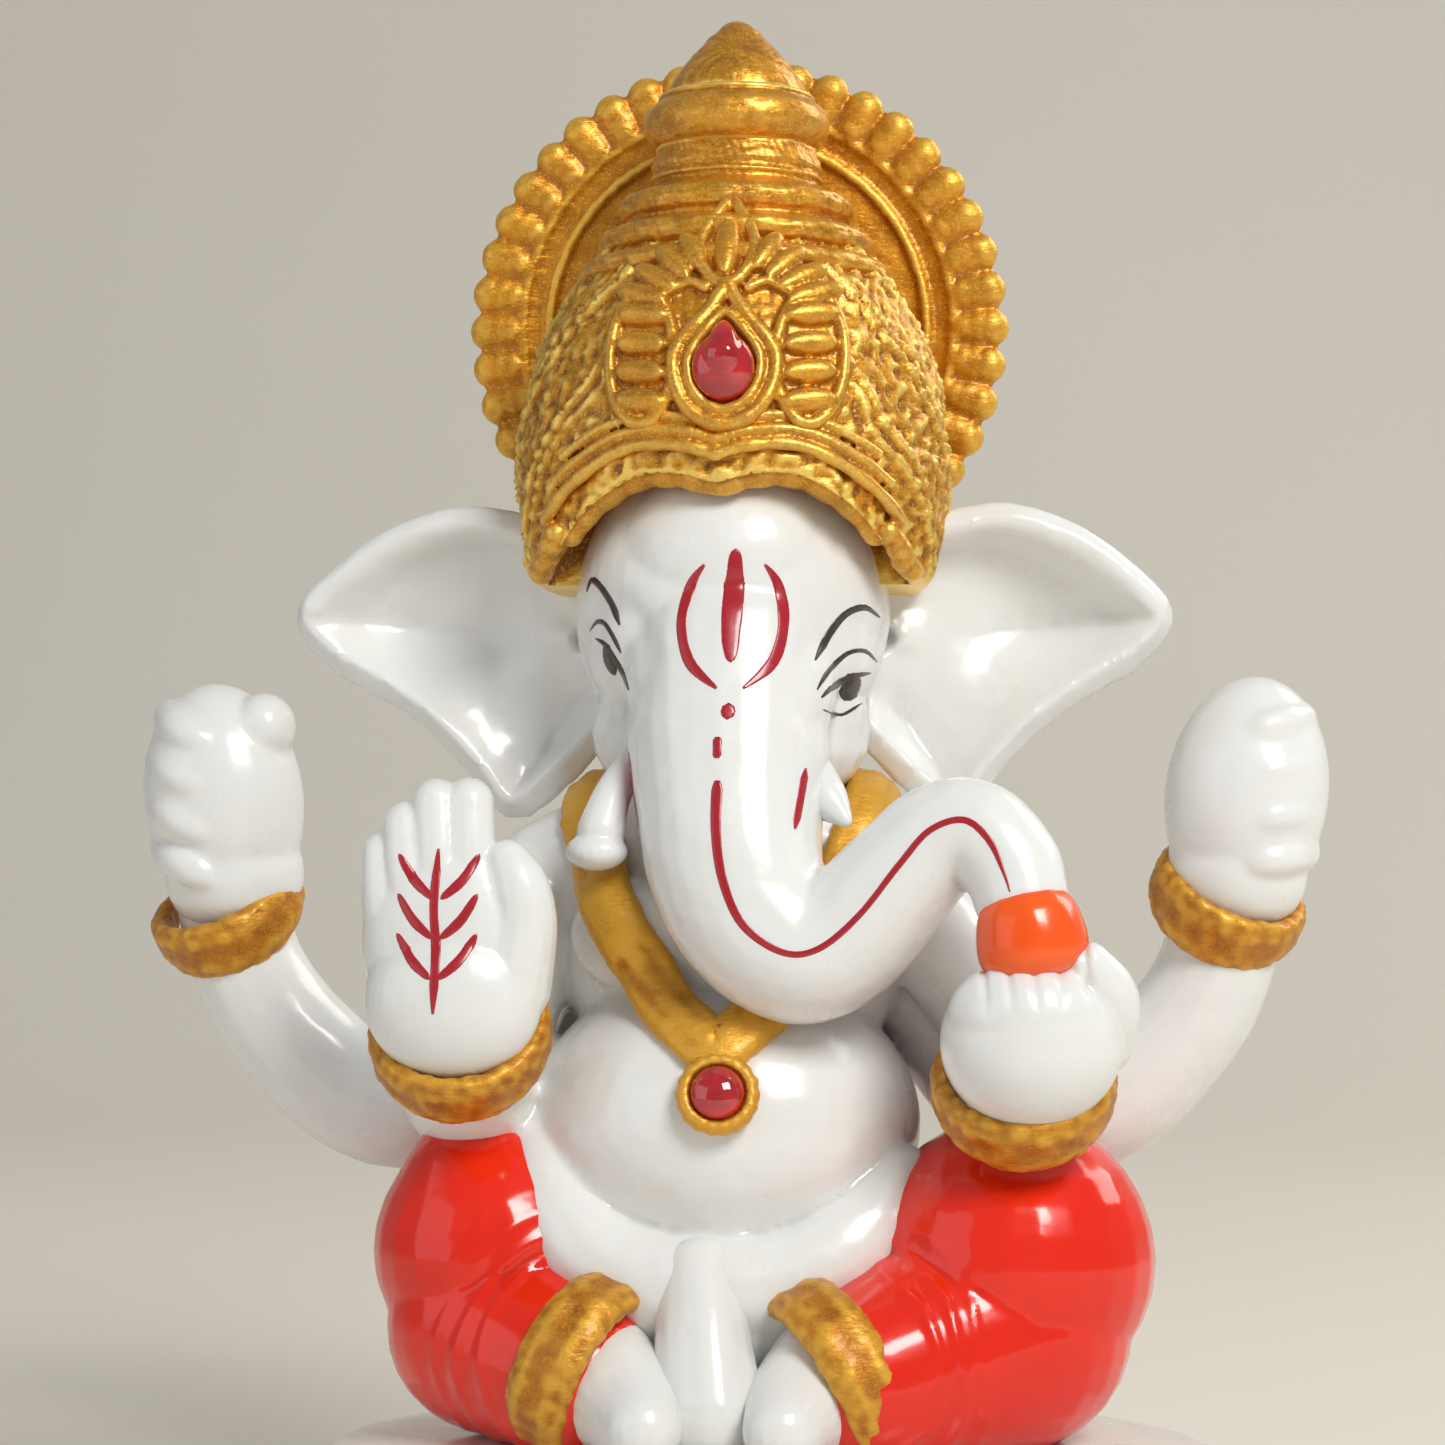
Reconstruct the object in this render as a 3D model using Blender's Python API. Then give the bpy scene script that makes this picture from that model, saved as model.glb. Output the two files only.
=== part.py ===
# Small seated ganesha idol: white casting, gold ornaments, red dhoti, on an oval cushion seat.
# Frame: origin on the underside of the seat, +Z up, the idol faces -Y, +X is the idol's own left.
# Lengths in this file are millimetres; MM turns them into metres when a mesh is made.

import math

import bmesh
import bpy
from mathutils import Matrix, Vector
from mathutils.bvhtree import BVHTree

MM = 0.001
GAP = 0.3                 # smallest clearance between neighbouring pieces
GROWTH = 0.34             # how far a neighbour is grown before it cuts, a little over GAP for its corners
SLIVER = 0.003            # edges shorter than this are dissolved after a cut
SHARP = math.radians(50)  # edges sharper than this stay crisp
LEFT = 1                  # sign of X on the idol's own left
RIGHT = -1                # sign of X on the idol's own right

# Seat
SEAT_X = 3.5              # the legs and the seat sit a little to the idol's left
SEAT_Y = -5.0
SEAT_HALF_X = 37.0
SEAT_HALF_Y = 26.5
PLINTH_TOP = 5.0
CUSHION_TOP = 15.5

# Head and crown
HEAD_Z = 80.0             # middle of the head
HEAD_HALF_X = 12.6
FACE_BACK = -3.4          # how far back the opening for the face goes into the cap
CROWN_Z = 88.0            # where the crown's own axis starts
CROWN_LEAN = math.radians(-5.5)
CROWN_DEPTH = 0.8         # depth of the cap over its width
TIERS_DEPTH = 0.92
TOP_DEPTH = 0.95          # of the drum and the finial
TIERS_BASE = 23.7         # where the ringed neck starts, up the crown's axis
TIER_RISE = 1.3
TIER_STEP = 0.35          # each tier is this much slimmer than the one below
TIER_COUNT = 4
DRUM_BASE = 29.2
DRUM_TOP = 33.0
HALO_X = -0.8
HALO_Z = 103.5
HALO_RADIUS = 22.6
HALO_FRONT = 11.0         # Y of the halo's front face
HALO_THICK = 2.4
HALO_LOBES = 42
HALO_NOTCH = 1.1          # depth of the dips between the lobes
STONE_Z = 99.2

# Arms
REAR_HAND_X = {RIGHT: -42.3, LEFT: 41.0}
REAR_REACH = {RIGHT: -1.0, LEFT: 0.945}    # the two rear arms differ a little in reach
EAR_REACH = {RIGHT: -1.0, LEFT: 0.96}      # and so do the ears
PALM_X = -19.6            # the raised hand, on the idol's right
BOWL_X = 24.4             # the hand that holds the sweet, on the idol's left
FRONT_CUFF = (5.8, 4.8, 3.4)               # radius, band and thickness
REAR_CUFF = (5.2, 4.4, 3.0)

WHITE = (0.80, 0.79, 0.76, 1.0)
GOLD = (0.60, 0.25, 0.012, 1.0)
RED = (0.74, 0.03, 0.015, 1.0)
ORANGE = (0.93, 0.10, 0.01, 1.0)
RUBY = (0.50, 0.01, 0.015, 1.0)


def clear_scene():
    for obj in list(bpy.data.objects):
        bpy.data.objects.remove(obj, do_unlink=True)


def paint(name, colour, roughness, metallic=0.0):
    mat = bpy.data.materials.new(name + "_finish")
    mat.use_nodes = True
    shader = mat.node_tree.nodes["Principled BSDF"]
    shader.inputs["Base Color"].default_value = colour
    shader.inputs["Roughness"].default_value = roughness
    shader.inputs["Metallic"].default_value = metallic
    mat.diffuse_color = colour
    return mat


def white(name):
    return paint(name, WHITE, 0.25)


def gold(name):
    return paint(name, GOLD, 0.38, 0.8)


def red(name):
    return paint(name, RED, 0.2)


def make_object(name, bm, mat):
    mesh = bpy.data.meshes.new(name)
    bmesh.ops.recalc_face_normals(bm, faces=bm.faces)
    bm.to_mesh(mesh)
    bm.free()
    mesh.materials.append(mat)
    obj = bpy.data.objects.new(name, mesh)
    bpy.context.scene.collection.objects.link(obj)
    return obj


def bake(obj):
    graph = bpy.context.evaluated_depsgraph_get()
    mesh = bpy.data.meshes.new_from_object(obj.evaluated_get(graph))
    obj.modifiers.clear()
    obj.data = mesh
    return obj


def thin(obj, triangles):
    count = sum(len(face.vertices) - 2 for face in obj.data.polygons)
    if count > triangles:
        decimate = obj.modifiers.new("thin", "DECIMATE")
        decimate.ratio = triangles / count
        bake(obj)
    return obj


def ball(bm, centre, radii, turn=0.0, segments=24, rings=14):
    """Ellipsoid turned about Y."""
    place = Matrix.Translation(Vector(centre) * MM) @ Matrix.Rotation(turn, 4, "Y")
    place = place @ Matrix.Diagonal((*(Vector(radii) * MM), 1.0))
    bmesh.ops.create_uvsphere(bm, u_segments=segments, v_segments=rings, radius=1.0, matrix=place)


def curve(points, steps):
    """Catmull-Rom curve through tuples of any length, ends included."""
    ends = [points[0]] + list(points) + [points[-1]]
    out = []
    for i in range(1, len(ends) - 2):
        a, b, c, d = ends[i - 1], ends[i], ends[i + 1], ends[i + 2]
        for k in range(steps):
            t = k / steps
            out.append(tuple(
                0.5 * (2 * q + (r - p) * t + (2 * p - 5 * q + 4 * r - s) * t * t
                       + (3 * q - p - 3 * r + s) * t ** 3)
                for p, q, r, s in zip(a, b, c, d)))
    out.append(tuple(points[-1]))
    return out


def chain(bm, points, steps=7):
    """A limb: balls along a smooth curve through (x, y, z, radius)."""
    for x, y, z, r in curve(points, steps):
        ball(bm, (x, y, z), (r, r, r), segments=16, rings=10)


def skin(name, bm, mat, triangles, voxel=0.7, relax=4):
    """One smooth closed surface round everything in bm."""
    obj = make_object(name, bm, mat)
    fuse = obj.modifiers.new("fuse", "REMESH")
    fuse.mode = "VOXEL"
    fuse.voxel_size = voxel * MM
    soften = obj.modifiers.new("soften", "SMOOTH")
    soften.factor = 0.5
    soften.iterations = relax
    bake(obj)
    return thin(obj, triangles)


def lathe(name, profile, mat, centre=(0.0, 0.0, 0.0), half=(1.0, 1.0), lean=0.0, segments=32):
    """Turned body from (radius, height) pairs, bottom to top, closed on its axis."""
    bm = bmesh.new()
    rings = []
    for radius, height in profile:
        ring = []
        for k in range(segments):
            angle = 2 * math.pi * k / segments
            ring.append(bm.verts.new((radius * half[0] * math.cos(angle),
                                      radius * half[1] * math.sin(angle), height)))
        rings.append(ring)
    for low, high in zip(rings, rings[1:]):
        for k in range(segments):
            n = (k + 1) % segments
            bm.faces.new((low[k], low[n], high[n], high[k]))
    bm.faces.new(list(reversed(rings[0])))
    bm.faces.new(rings[-1])
    bm.transform(Matrix.Translation(Vector(centre) * MM) @ Matrix.Rotation(lean, 4, "X") @ Matrix.Scale(MM, 4))
    return make_object(name, bm, mat)


def hoop(name, centre, axis, size, mat, segments=20, sides=6):
    """Ring round an axis; size is its radius, its width along the axis and its depth across it."""
    radius, band, thick = size
    bm = bmesh.new()
    rings = []
    for k in range(segments):
        angle = 2 * math.pi * k / segments
        ring = []
        for j in range(sides):
            turn = 2 * math.pi * j / sides
            reach = radius + 0.5 * thick * math.cos(turn)
            spot = Vector((reach * math.cos(angle), reach * math.sin(angle), 0.5 * band * math.sin(turn)))
            ring.append(bm.verts.new(spot * MM))
        rings.append(ring)
    for k in range(segments):
        here, there = rings[k], rings[(k + 1) % segments]
        for j in range(sides):
            n = (j + 1) % sides
            bm.faces.new((here[j], there[j], there[n], here[n]))
    tilt = Vector(axis).to_track_quat("Z", "X").to_matrix().to_4x4()
    bm.transform(Matrix.Translation(Vector(centre) * MM) @ tilt)
    return make_object(name, bm, mat)


def tube(name, points, width, depth, mat, closed=False, sides=6):
    """Strap of oval section along points; width runs across it, depth lifts off the surface."""
    bm = bmesh.new()
    places = [Vector(point[:3]) for point in points]
    outward = [Vector(point[3:6]) for point in points]
    count = len(places)
    rings = []
    for k in range(count):
        ahead = places[(k + 1) % count] if closed or k + 1 < count else places[k]
        behind = places[k - 1] if closed or k > 0 else places[k]
        along = (ahead - behind).normalized()
        across = along.cross(outward[k]).normalized()
        lift = across.cross(along).normalized()
        ring = []
        for j in range(sides):
            turn = 2 * math.pi * j / sides
            offset = across * (0.5 * width * math.cos(turn)) + lift * (0.5 * depth * math.sin(turn))
            ring.append(bm.verts.new((places[k] + offset) * MM))
        rings.append(ring)
    for k in range(count if closed else count - 1):
        here, there = rings[k], rings[(k + 1) % count]
        for j in range(sides):
            n = (j + 1) % sides
            bm.faces.new((here[j], there[j], there[n], here[n]))
    if not closed:
        bm.faces.new(list(reversed(rings[0])))
        bm.faces.new(rings[-1])
    return make_object(name, bm, mat)


def block(low, high):
    """Hidden cutting box between two corners."""
    bm = bmesh.new()
    size = Vector(high) - Vector(low)
    middle = (Vector(high) + Vector(low)) / 2
    place = Matrix.Translation(middle * MM) @ Matrix.Diagonal((*(size * MM), 1.0))
    bmesh.ops.create_cube(bm, size=1.0, matrix=place)
    return guide(make_object("cutting_box", bm, paint("cutting_box", WHITE, 0.5)))


def guide(obj):
    obj.hide_render = True
    obj.display_type = "WIRE"
    return obj


def spare(obj):
    """Hidden copy of a piece as it is now, for clearing its neighbours later."""
    copy = bpy.data.objects.new(obj.name + "_form", obj.data.copy())
    bpy.context.scene.collection.objects.link(copy)
    return guide(copy)


def largest_body(bm):
    bm.verts.ensure_lookup_table()
    seen = set()
    bodies = []
    for start in bm.verts:
        if start in seen:
            continue
        seen.add(start)
        body = [start]
        for vert in body:
            for edge in vert.link_edges:
                other = edge.other_vert(vert)
                if other not in seen:
                    seen.add(other)
                    body.append(other)
        bodies.append(body)
    keep = set(max(bodies, key=len))
    return [vert for vert in bm.verts if vert not in keep]


def settle(obj):
    """After a cut: drop slivers and crumbs, leave one closed body of triangles."""
    bm = bmesh.new()
    bm.from_mesh(obj.data)
    bmesh.ops.delete(bm, geom=largest_body(bm), context="VERTS")
    bmesh.ops.dissolve_degenerate(bm, dist=SLIVER * MM, edges=bm.edges)
    bmesh.ops.triangulate(bm, faces=bm.faces)
    bm.to_mesh(obj.data)
    bm.free()
    return obj


def cut(obj, cutter):
    trim = obj.modifiers.new("trim", "BOOLEAN")
    trim.operation = "DIFFERENCE"
    trim.solver = "EXACT"
    trim.object = cutter
    bake(obj)
    return settle(obj)


def clear_of(obj, *forms):
    """Cut obj back to at least GAP outside each of its neighbours."""
    for form in forms:
        grow = form.modifiers.new("grow", "DISPLACE")
        grow.mid_level = 0.0
        grow.strength = GROWTH * MM
        cut(obj, form)
        form.modifiers.clear()
    return obj


def snap(points, target, lift):
    """Points moved onto a surface and lifted off it, each with the surface's outward direction."""
    tree = BVHTree.FromObject(target, bpy.context.evaluated_depsgraph_get())
    out = []
    for point in points:
        place, normal, _, _ = tree.find_nearest(Vector(point) * MM)
        spot = place / MM + normal * lift
        out.append((*spot, *normal))
    return out


def finish(obj):
    obj.data.shade_smooth()
    obj.data.set_sharp_from_angle(angle=SHARP)
    return obj


# ---- Seat

def make_seat():
    half = (SEAT_HALF_X, SEAT_HALF_Y)
    foot = [(0.93, 0.0), (0.96, 0.5), (0.96, 1.6), (0.92, 2.2), (0.90, 3.4), (0.93, 4.4), (0.93, PLINTH_TOP)]
    plinth = lathe("seat_plinth", foot, gold("seat_plinth"), (SEAT_X, SEAT_Y, 0), half, segments=36)
    profile = [(0.90, PLINTH_TOP + GAP), (0.96, 6.3), (1.0, 8.6), (0.985, 10.8), (0.93, 12.9),
               (0.85, 14.4), (0.74, 15.2), (0.6, CUSHION_TOP)]
    cushion = lathe("seat_cushion", profile, white("seat_cushion"), (SEAT_X, SEAT_Y, 0), half, segments=36)
    return plinth, cushion


# ---- White casting

def make_torso():
    bm = bmesh.new()
    ball(bm, (-0.3, -4.0, 39.5), (15.6, 14.0, 12.0))
    ball(bm, (0.0, 3.0, 32.0), (14.0, 10.5, 9.0))
    ball(bm, (0.0, -0.5, 53.0), (14.0, 10.0, 12.0))
    chain(bm, [(-14.0, 1.0, 57.0, 6.6), (0.0, 0.5, 60.5, 8.0), (14.0, 1.0, 57.0, 6.6)])
    ball(bm, (0.0, 1.0, 65.0), (8.0, 7.5, 6.0))
    for side in (RIGHT, LEFT):
        ball(bm, (side * 6.5, -8.0, 54.5), (5.5, 3.4, 4.6))
    return skin("torso", bm, white("torso"), 560, relax=6)


def make_head():
    bm = bmesh.new()
    ball(bm, (0.0, -0.2, HEAD_Z), (HEAD_HALF_X, 12.4, 13.6))
    ball(bm, (0.0, -3.4, 83.5), (9.6, 9.4, 8.6))
    chain(bm, [(-5.0, -2.0, 70.5, 6.2), (0.0, -2.6, 69.0, 7.4), (5.0, -2.0, 70.5, 6.2)])
    trunk = [(0.4, -6.0, 76.0, 8.6), (0.6, -9.0, 70.0, 8.0), (0.9, -11.2, 65.0, 7.4), (1.4, -13.2, 60.5, 6.9),
             (2.9, -14.4, 56.6, 6.3), (6.4, -14.9, 53.7, 5.8), (10.4, -15.3, 54.9, 5.2), (14.1, -15.9, 58.8, 4.7),
             (17.2, -16.4, 62.1, 4.3), (20.3, -17.1, 62.7, 4.0), (22.8, -18.2, 60.3, 3.8), (23.7, -19.0, 57.9, 3.6)]
    chain(bm, trunk)
    return skin("head", bm, white("head"), 1050, voxel=0.6, relax=4)


def ear_grid(side, rows=7, steps=3):
    """Ear as a fan from its root to its outline; the middle is hollowed backwards."""
    root = (10.0, 77.5)
    outline = [(10.5, 84.6), (16.0, 86.6), (22.5, 87.8), (28.5, 86.2), (33.0, 83.2), (36.2, 79.8), (33.6, 76.3),
               (29.0, 73.6), (25.0, 70.8), (21.6, 67.4), (18.6, 63.9), (15.0, 66.0), (10.5, 70.5)]
    bm = bmesh.new()
    rings = []
    for row in range(rows):
        t = 0.14 + 0.86 * row / (rows - 1)
        ring = []
        for x, z in curve(outline, steps):
            reach = math.hypot(x - root[0], z - root[1]) / 26.0
            bowl = 4.2 * math.sin(math.pi * min(t, 1.0)) * reach
            roll = -1.2 * t ** 6
            depth = 2.2 + 3.4 * t * reach + bowl + roll
            px = root[0] + (x - root[0]) * t
            pz = root[1] + (z - root[1]) * t
            ring.append(bm.verts.new((EAR_REACH[side] * px * MM, depth * MM, pz * MM)))
        rings.append(ring)
    for inner, outer in zip(rings, rings[1:]):
        for k in range(len(inner) - 1):
            bm.faces.new((inner[k], inner[k + 1], outer[k + 1], outer[k]))
    return bm


def make_ear(side, name):
    obj = make_object(name, ear_grid(side), white(name))
    shell = obj.modifiers.new("thickness", "SOLIDIFY")
    shell.thickness = 2.5 * MM
    shell.offset = 0.0
    bake(obj)
    bm = bmesh.new()
    bm.from_mesh(obj.data)
    bpy.data.objects.remove(obj, do_unlink=True)
    return skin(name, bm, white(name), 260, voxel=0.55, relax=3)


def make_tusk(name, points):
    bm = bmesh.new()
    chain(bm, points, steps=5)
    return skin(name, bm, white(name), 70, voxel=0.4, relax=2)


def make_tusks():
    right = [(-5.6, -7.0, 68.0, 2.6), (-8.0, -10.0, 64.5, 2.3), (-9.5, -12.0, 61.6, 1.3)]
    left = [(6.4, -8.0, 68.0, 2.4), (9.0, -11.0, 65.2, 2.1), (10.2, -12.4, 63.6, 1.4)]
    return make_tusk("tusk_right", right), make_tusk("tusk_left", left)


def make_front_arm(side, name):
    elbow_x = 20.5 if side == RIGHT else 24.0
    wrist = (PALM_X, -13.6, 45.6, 4.9) if side == RIGHT else (BOWL_X, -14.6, 43.0, 5.0)
    bm = bmesh.new()
    chain(bm, [(side * 16.0, -1.0, 56.0, 5.8), (side * (elbow_x - 1.5), -2.5, 48.0, 5.4),
               (side * elbow_x, -5.0, 42.5, 5.4), (wrist[0], -10.0, 42.6, 5.1), wrist])
    return skin(name, bm, white(name), 160, relax=3)


def make_rear_arm(side, name):
    reach = REAR_REACH[side]
    bm = bmesh.new()
    chain(bm, [(reach * 14.0, 4.0, 56.0, 6.2), (reach * 19.5, 4.5, 47.0, 6.4), (reach * 25.0, 4.8, 41.0, 6.0),
               (reach * 31.0, 5.0, 40.6, 5.2), (reach * 37.0, 5.0, 45.6, 4.9), (reach * 40.6, 4.6, 51.5, 4.7),
               (reach * 41.8, 4.0, 57.5, 4.6)])
    return skin(name, bm, white(name), 210, relax=3)


def make_rear_hand(side, name):
    x = REAR_HAND_X[side]
    z = 63.8 if side == RIGHT else 64.8
    bm = bmesh.new()
    ball(bm, (x, 3.6, z - 0.4), (6.6, 5.8, 9.6), turn=side * 0.12)
    for k in range(4):
        drop = 3.7 * k
        chain(bm, [(x + side * 4.2, -0.4, z + 6.2 - drop, 2.1), (x + side * 0.8, -2.2, z + 6.8 - drop, 2.3)],
              steps=4)
    chain(bm, [(x - side * 4.4, 0.6, z - 1.0, 2.6), (x - side * 4.0, -0.4, z + 5.4, 2.5)], steps=4)
    return skin(name, bm, white(name), 250, voxel=0.5, relax=3)


def make_palm_hand(name):
    bm = bmesh.new()
    ball(bm, (PALM_X, -17.0, 53.4), (7.2, 3.8, 8.2))
    ball(bm, (PALM_X + 0.4, -16.4, 49.6), (6.0, 4.0, 5.2))
    tips = [(-25.4, 61.4), (-23.5, 63.6), (-21.2, 65.2), (-18.8, 65.3)]
    for k, (x, z) in enumerate(tips):
        knuckle = (-25.0 + 2.25 * k, -17.0, 55.8, 1.9)
        chain(bm, [knuckle, (x, -16.2, z, 1.55)], steps=8)
    chain(bm, [(-14.6, -16.8, 52.5, 2.6), (-13.9, -17.6, 57.0, 2.1), (-14.9, -17.4, 60.2, 1.8)], steps=5)
    return skin(name, bm, white(name), 430, voxel=0.45, relax=2)


def make_bowl_hand(name):
    bm = bmesh.new()
    ball(bm, (BOWL_X, -19.0, 47.9), (6.6, 6.2, 5.4))
    for k in range(4):
        x = BOWL_X - 4.3 + 2.9 * k
        chain(bm, [(x, -22.6, 46.6, 1.9), (x, -22.8, 50.4, 1.8), (x, -21.6, 52.2, 1.5)], steps=5)
    return skin(name, bm, white(name), 260, voxel=0.5, relax=2)


def make_foot(name, points):
    bm = bmesh.new()
    chain(bm, points)
    return skin(name, bm, white(name), 150, relax=3)


def make_feet():
    right = [(-9.5, -16.2, 21.6, 5.2), (-6.2, -20.0, 19.6, 4.4), (-4.2, -25.0, 18.4, 3.0)]
    left = [(10.0, -16.4, 21.4, 5.6), (7.4, -20.0, 19.6, 4.4), (6.2, -25.0, 18.4, 3.0)]
    return make_foot("foot_right", right), make_foot("foot_left", left)


def make_pleat():
    bm = bmesh.new()
    chain(bm, [(-0.2, -16.4, 27.6, 3.4), (0.4, -18.6, 23.6, 3.7), (1.2, -20.6, 19.6, 4.1)])
    return skin("front_pleat", bm, white("front_pleat"), 130, relax=2)


# ---- Red dhoti

def make_leg(name, thigh, crest, shin):
    bm = bmesh.new()
    for limb in (thigh, crest, shin):
        chain(bm, limb)
    return skin(name, bm, red(name), 320, voxel=0.8, relax=6)


def make_legs():
    right = make_leg("leg_right", [(-9.0, 2.0, 25.0, 9.0), (-16.5, -6.0, 25.5, 9.6)],
                     [(-17.9, -7.5, 29.6, 9.8), (-19.2, -9.0, 34.8, 5.9)],
                     [(-17.8, -9.0, 24.0, 8.6), (-10.5, -16.5, 21.0, 6.4)])
    left = make_leg("leg_left", [(10.0, 2.0, 25.0, 9.6), (20.5, -6.0, 26.0, 11.8)],
                    [(22.6, -8.0, 29.4, 11.2), (24.2, -9.5, 34.6, 5.8)],
                    [(22.0, -9.0, 24.4, 10.0), (12.0, -16.5, 21.0, 7.2)])
    return right, left


def make_hems():
    right = hoop("hem_right", (-9.6, -16.4, 21.8), (0.86, -0.35, -0.38), (6.2, 5.4, 3.4), gold("hem_right"))
    left = hoop("hem_left", (9.6, -16.6, 21.4), (-0.80, -0.40, -0.45), (6.5, 5.4, 3.4), gold("hem_left"))
    return right, left


def make_dhoti_seat():
    bm = bmesh.new()
    ball(bm, (2.0, 3.0, 23.0), (21.0, 11.5, 10.5))
    return skin("dhoti_seat", bm, red("dhoti_seat"), 150, voxel=1.0, relax=2)


# ---- Crown

def crown_turned(name, profile, depth):
    return lathe(name, profile, gold(name), (0, 0, CROWN_Z), (1.0, depth), CROWN_LEAN, segments=24)


def bead(radius, bulge, low, high, steps=3):
    """Half-round moulding between two heights, as (radius, height) pairs."""
    return [(radius + bulge * math.sin(math.pi * k / steps), low + (high - low) * k / steps)
            for k in range(steps + 1)]


def make_cap():
    profile = [(15.6, -6.5), (16.8, -2.5), (17.3, 3.0), (16.7, 8.5), (15.2, 13.4), (12.8, 17.6), (10.4, 20.8),
               (8.4, 23.4)]
    return crown_turned("crown_cap", profile, CROWN_DEPTH)


def make_tiers():
    profile = []
    for k in range(TIER_COUNT):
        low = TIERS_BASE + TIER_RISE * k
        rim = bead(7.9 - TIER_STEP * k, 0.7, low, low + TIER_RISE)
        profile += rim if k == TIER_COUNT - 1 else rim[:-1]
    return crown_turned("crown_tiers", profile, TIERS_DEPTH)


def make_drum():
    return crown_turned("crown_drum", bead(5.9, 1.5, DRUM_BASE, DRUM_TOP, 5), TOP_DEPTH)


def make_finial():
    profile = [(5.4, 33.3), (5.3, 34.2), (4.4, 35.6), (3.1, 37.0), (1.9, 38.4), (1.1, 39.4), (0.4, 39.9)]
    return crown_turned("crown_finial", profile, TOP_DEPTH)


def brim_line():
    half = [(0.0, 89.9), (2.8, 90.6), (6.4, 90.5), (10.3, 88.2), (12.6, 85.4), (14.3, 82.8)]
    return [(-x, z) for x, z in reversed(half[1:])] + half


def front_point(x, z):
    """Point a little proud of the head's front at a given X and Z."""
    level = 1 - ((z - HEAD_Z) / 15.0) ** 2 - (x / 15.4) ** 2
    return (x, -1.0 - 13.4 * math.sqrt(max(level, 0.0)), z)


def make_brim(head):
    route = [front_point(x, z) for x, z in curve(brim_line(), 2)]
    return tube("crown_brim", snap(route, head, 0.9), 2.8, 2.8, gold("crown_brim"))


def face_window():
    """Hidden cutter that opens the front of the cap below the brim."""
    bm = bmesh.new()
    line = curve(brim_line(), 2)
    outline = [(-14.6, 60.0)] + line + [(14.6, 60.0)]
    near = [bm.verts.new((x * MM, -30.0 * MM, z * MM)) for x, z in outline]
    far = [bm.verts.new((x * MM, FACE_BACK * MM, z * MM)) for x, z in outline]
    bm.faces.new(near)
    bm.faces.new(list(reversed(far)))
    for k in range(len(outline)):
        n = (k + 1) % len(outline)
        bm.faces.new((near[n], near[k], far[k], far[n]))
    return guide(make_object("face_window", bm, paint("face_window", WHITE, 0.5)))


def cap_front(x, z):
    """Point on the cap's front surface."""
    height = z - CROWN_Z
    radius = 17.3 - 0.018 * max(height - 4.0, 0.0) ** 2 - 0.04 * max(height - 10.0, 0.0)
    y = -CROWN_DEPTH * math.sqrt(max(radius ** 2 - x ** 2, 1.0))
    return (x, y - height * math.tan(CROWN_LEAN), z)


def make_medallion():
    bm = bmesh.new()
    ball(bm, cap_front(0.4, STONE_Z), (4.4, 2.2, 5.2))
    for side in (RIGHT, LEFT):
        for x, z, turn in ((6.6, 96.6, 0.25), (7.1, 99.8, 0.0), (6.4, 103.0, -0.35)):
            ball(bm, cap_front(side * x, z), (2.5, 1.9, 1.8), turn=side * turn)
        for x, z in ((5.0, 105.2), (2.7, 107.0), (4.4, 101.6), (4.6, 94.6)):
            ball(bm, cap_front(side * x, z), (1.9, 1.8, 2.1))
    ball(bm, cap_front(0.4, 108.4), (2.0, 1.9, 3.2))
    ball(bm, cap_front(0.4, 103.6), (3.0, 1.9, 2.6))
    return skin("crown_medallion", bm, gold("crown_medallion"), 380, voxel=0.5, relax=1)


def make_stone():
    bm = bmesh.new()
    x, y, z = cap_front(0.5, STONE_Z)
    ball(bm, (x, y - 1.6, z - 0.7), (2.1, 1.5, 2.2), segments=20, rings=12)
    chain(bm, [(x, y - 1.5, z, 1.7), (x, y - 1.1, z + 2.7, 0.4)], steps=6)
    return skin("crown_stone", bm, paint("crown_stone", RUBY, 0.1), 110, voxel=0.3, relax=2)


def make_halo():
    """Disc with a rounded lobe for each step of its rim and a raised band inside the lobes."""
    per_lobe = 3
    count = HALO_LOBES * per_lobe
    back = HALO_FRONT + HALO_THICK
    bands = [(None, back - 0.5), (None, HALO_FRONT + 0.4), (HALO_RADIUS - 4.4, HALO_FRONT - 0.2),
             (HALO_RADIUS - 6.6, HALO_FRONT + 0.7)]
    bm = bmesh.new()
    rings = []
    for radius, y in bands:
        ring = []
        for k in range(count):
            angle = 2 * math.pi * k / count
            scallop = abs(math.sin(math.pi * k / per_lobe))
            r = radius or HALO_RADIUS - HALO_NOTCH * (1.0 - scallop)
            spot = Vector((HALO_X + r * math.sin(angle), y, HALO_Z + r * math.cos(angle)))
            ring.append(bm.verts.new(spot * MM))
        rings.append(ring)
    for outer, inner in zip(rings, rings[1:]):
        for k in range(count):
            n = (k + 1) % count
            bm.faces.new((outer[k], inner[k], inner[n], outer[n]))
    for ring, y in ((rings[0], back), (rings[-1], HALO_FRONT + 0.7)):
        hub = bm.verts.new((HALO_X * MM, y * MM, HALO_Z * MM))
        for k in range(count):
            bm.faces.new((ring[k], ring[(k + 1) % count], hub))
    return make_object("halo", bm, gold("halo"))


# ---- Jewellery

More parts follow.
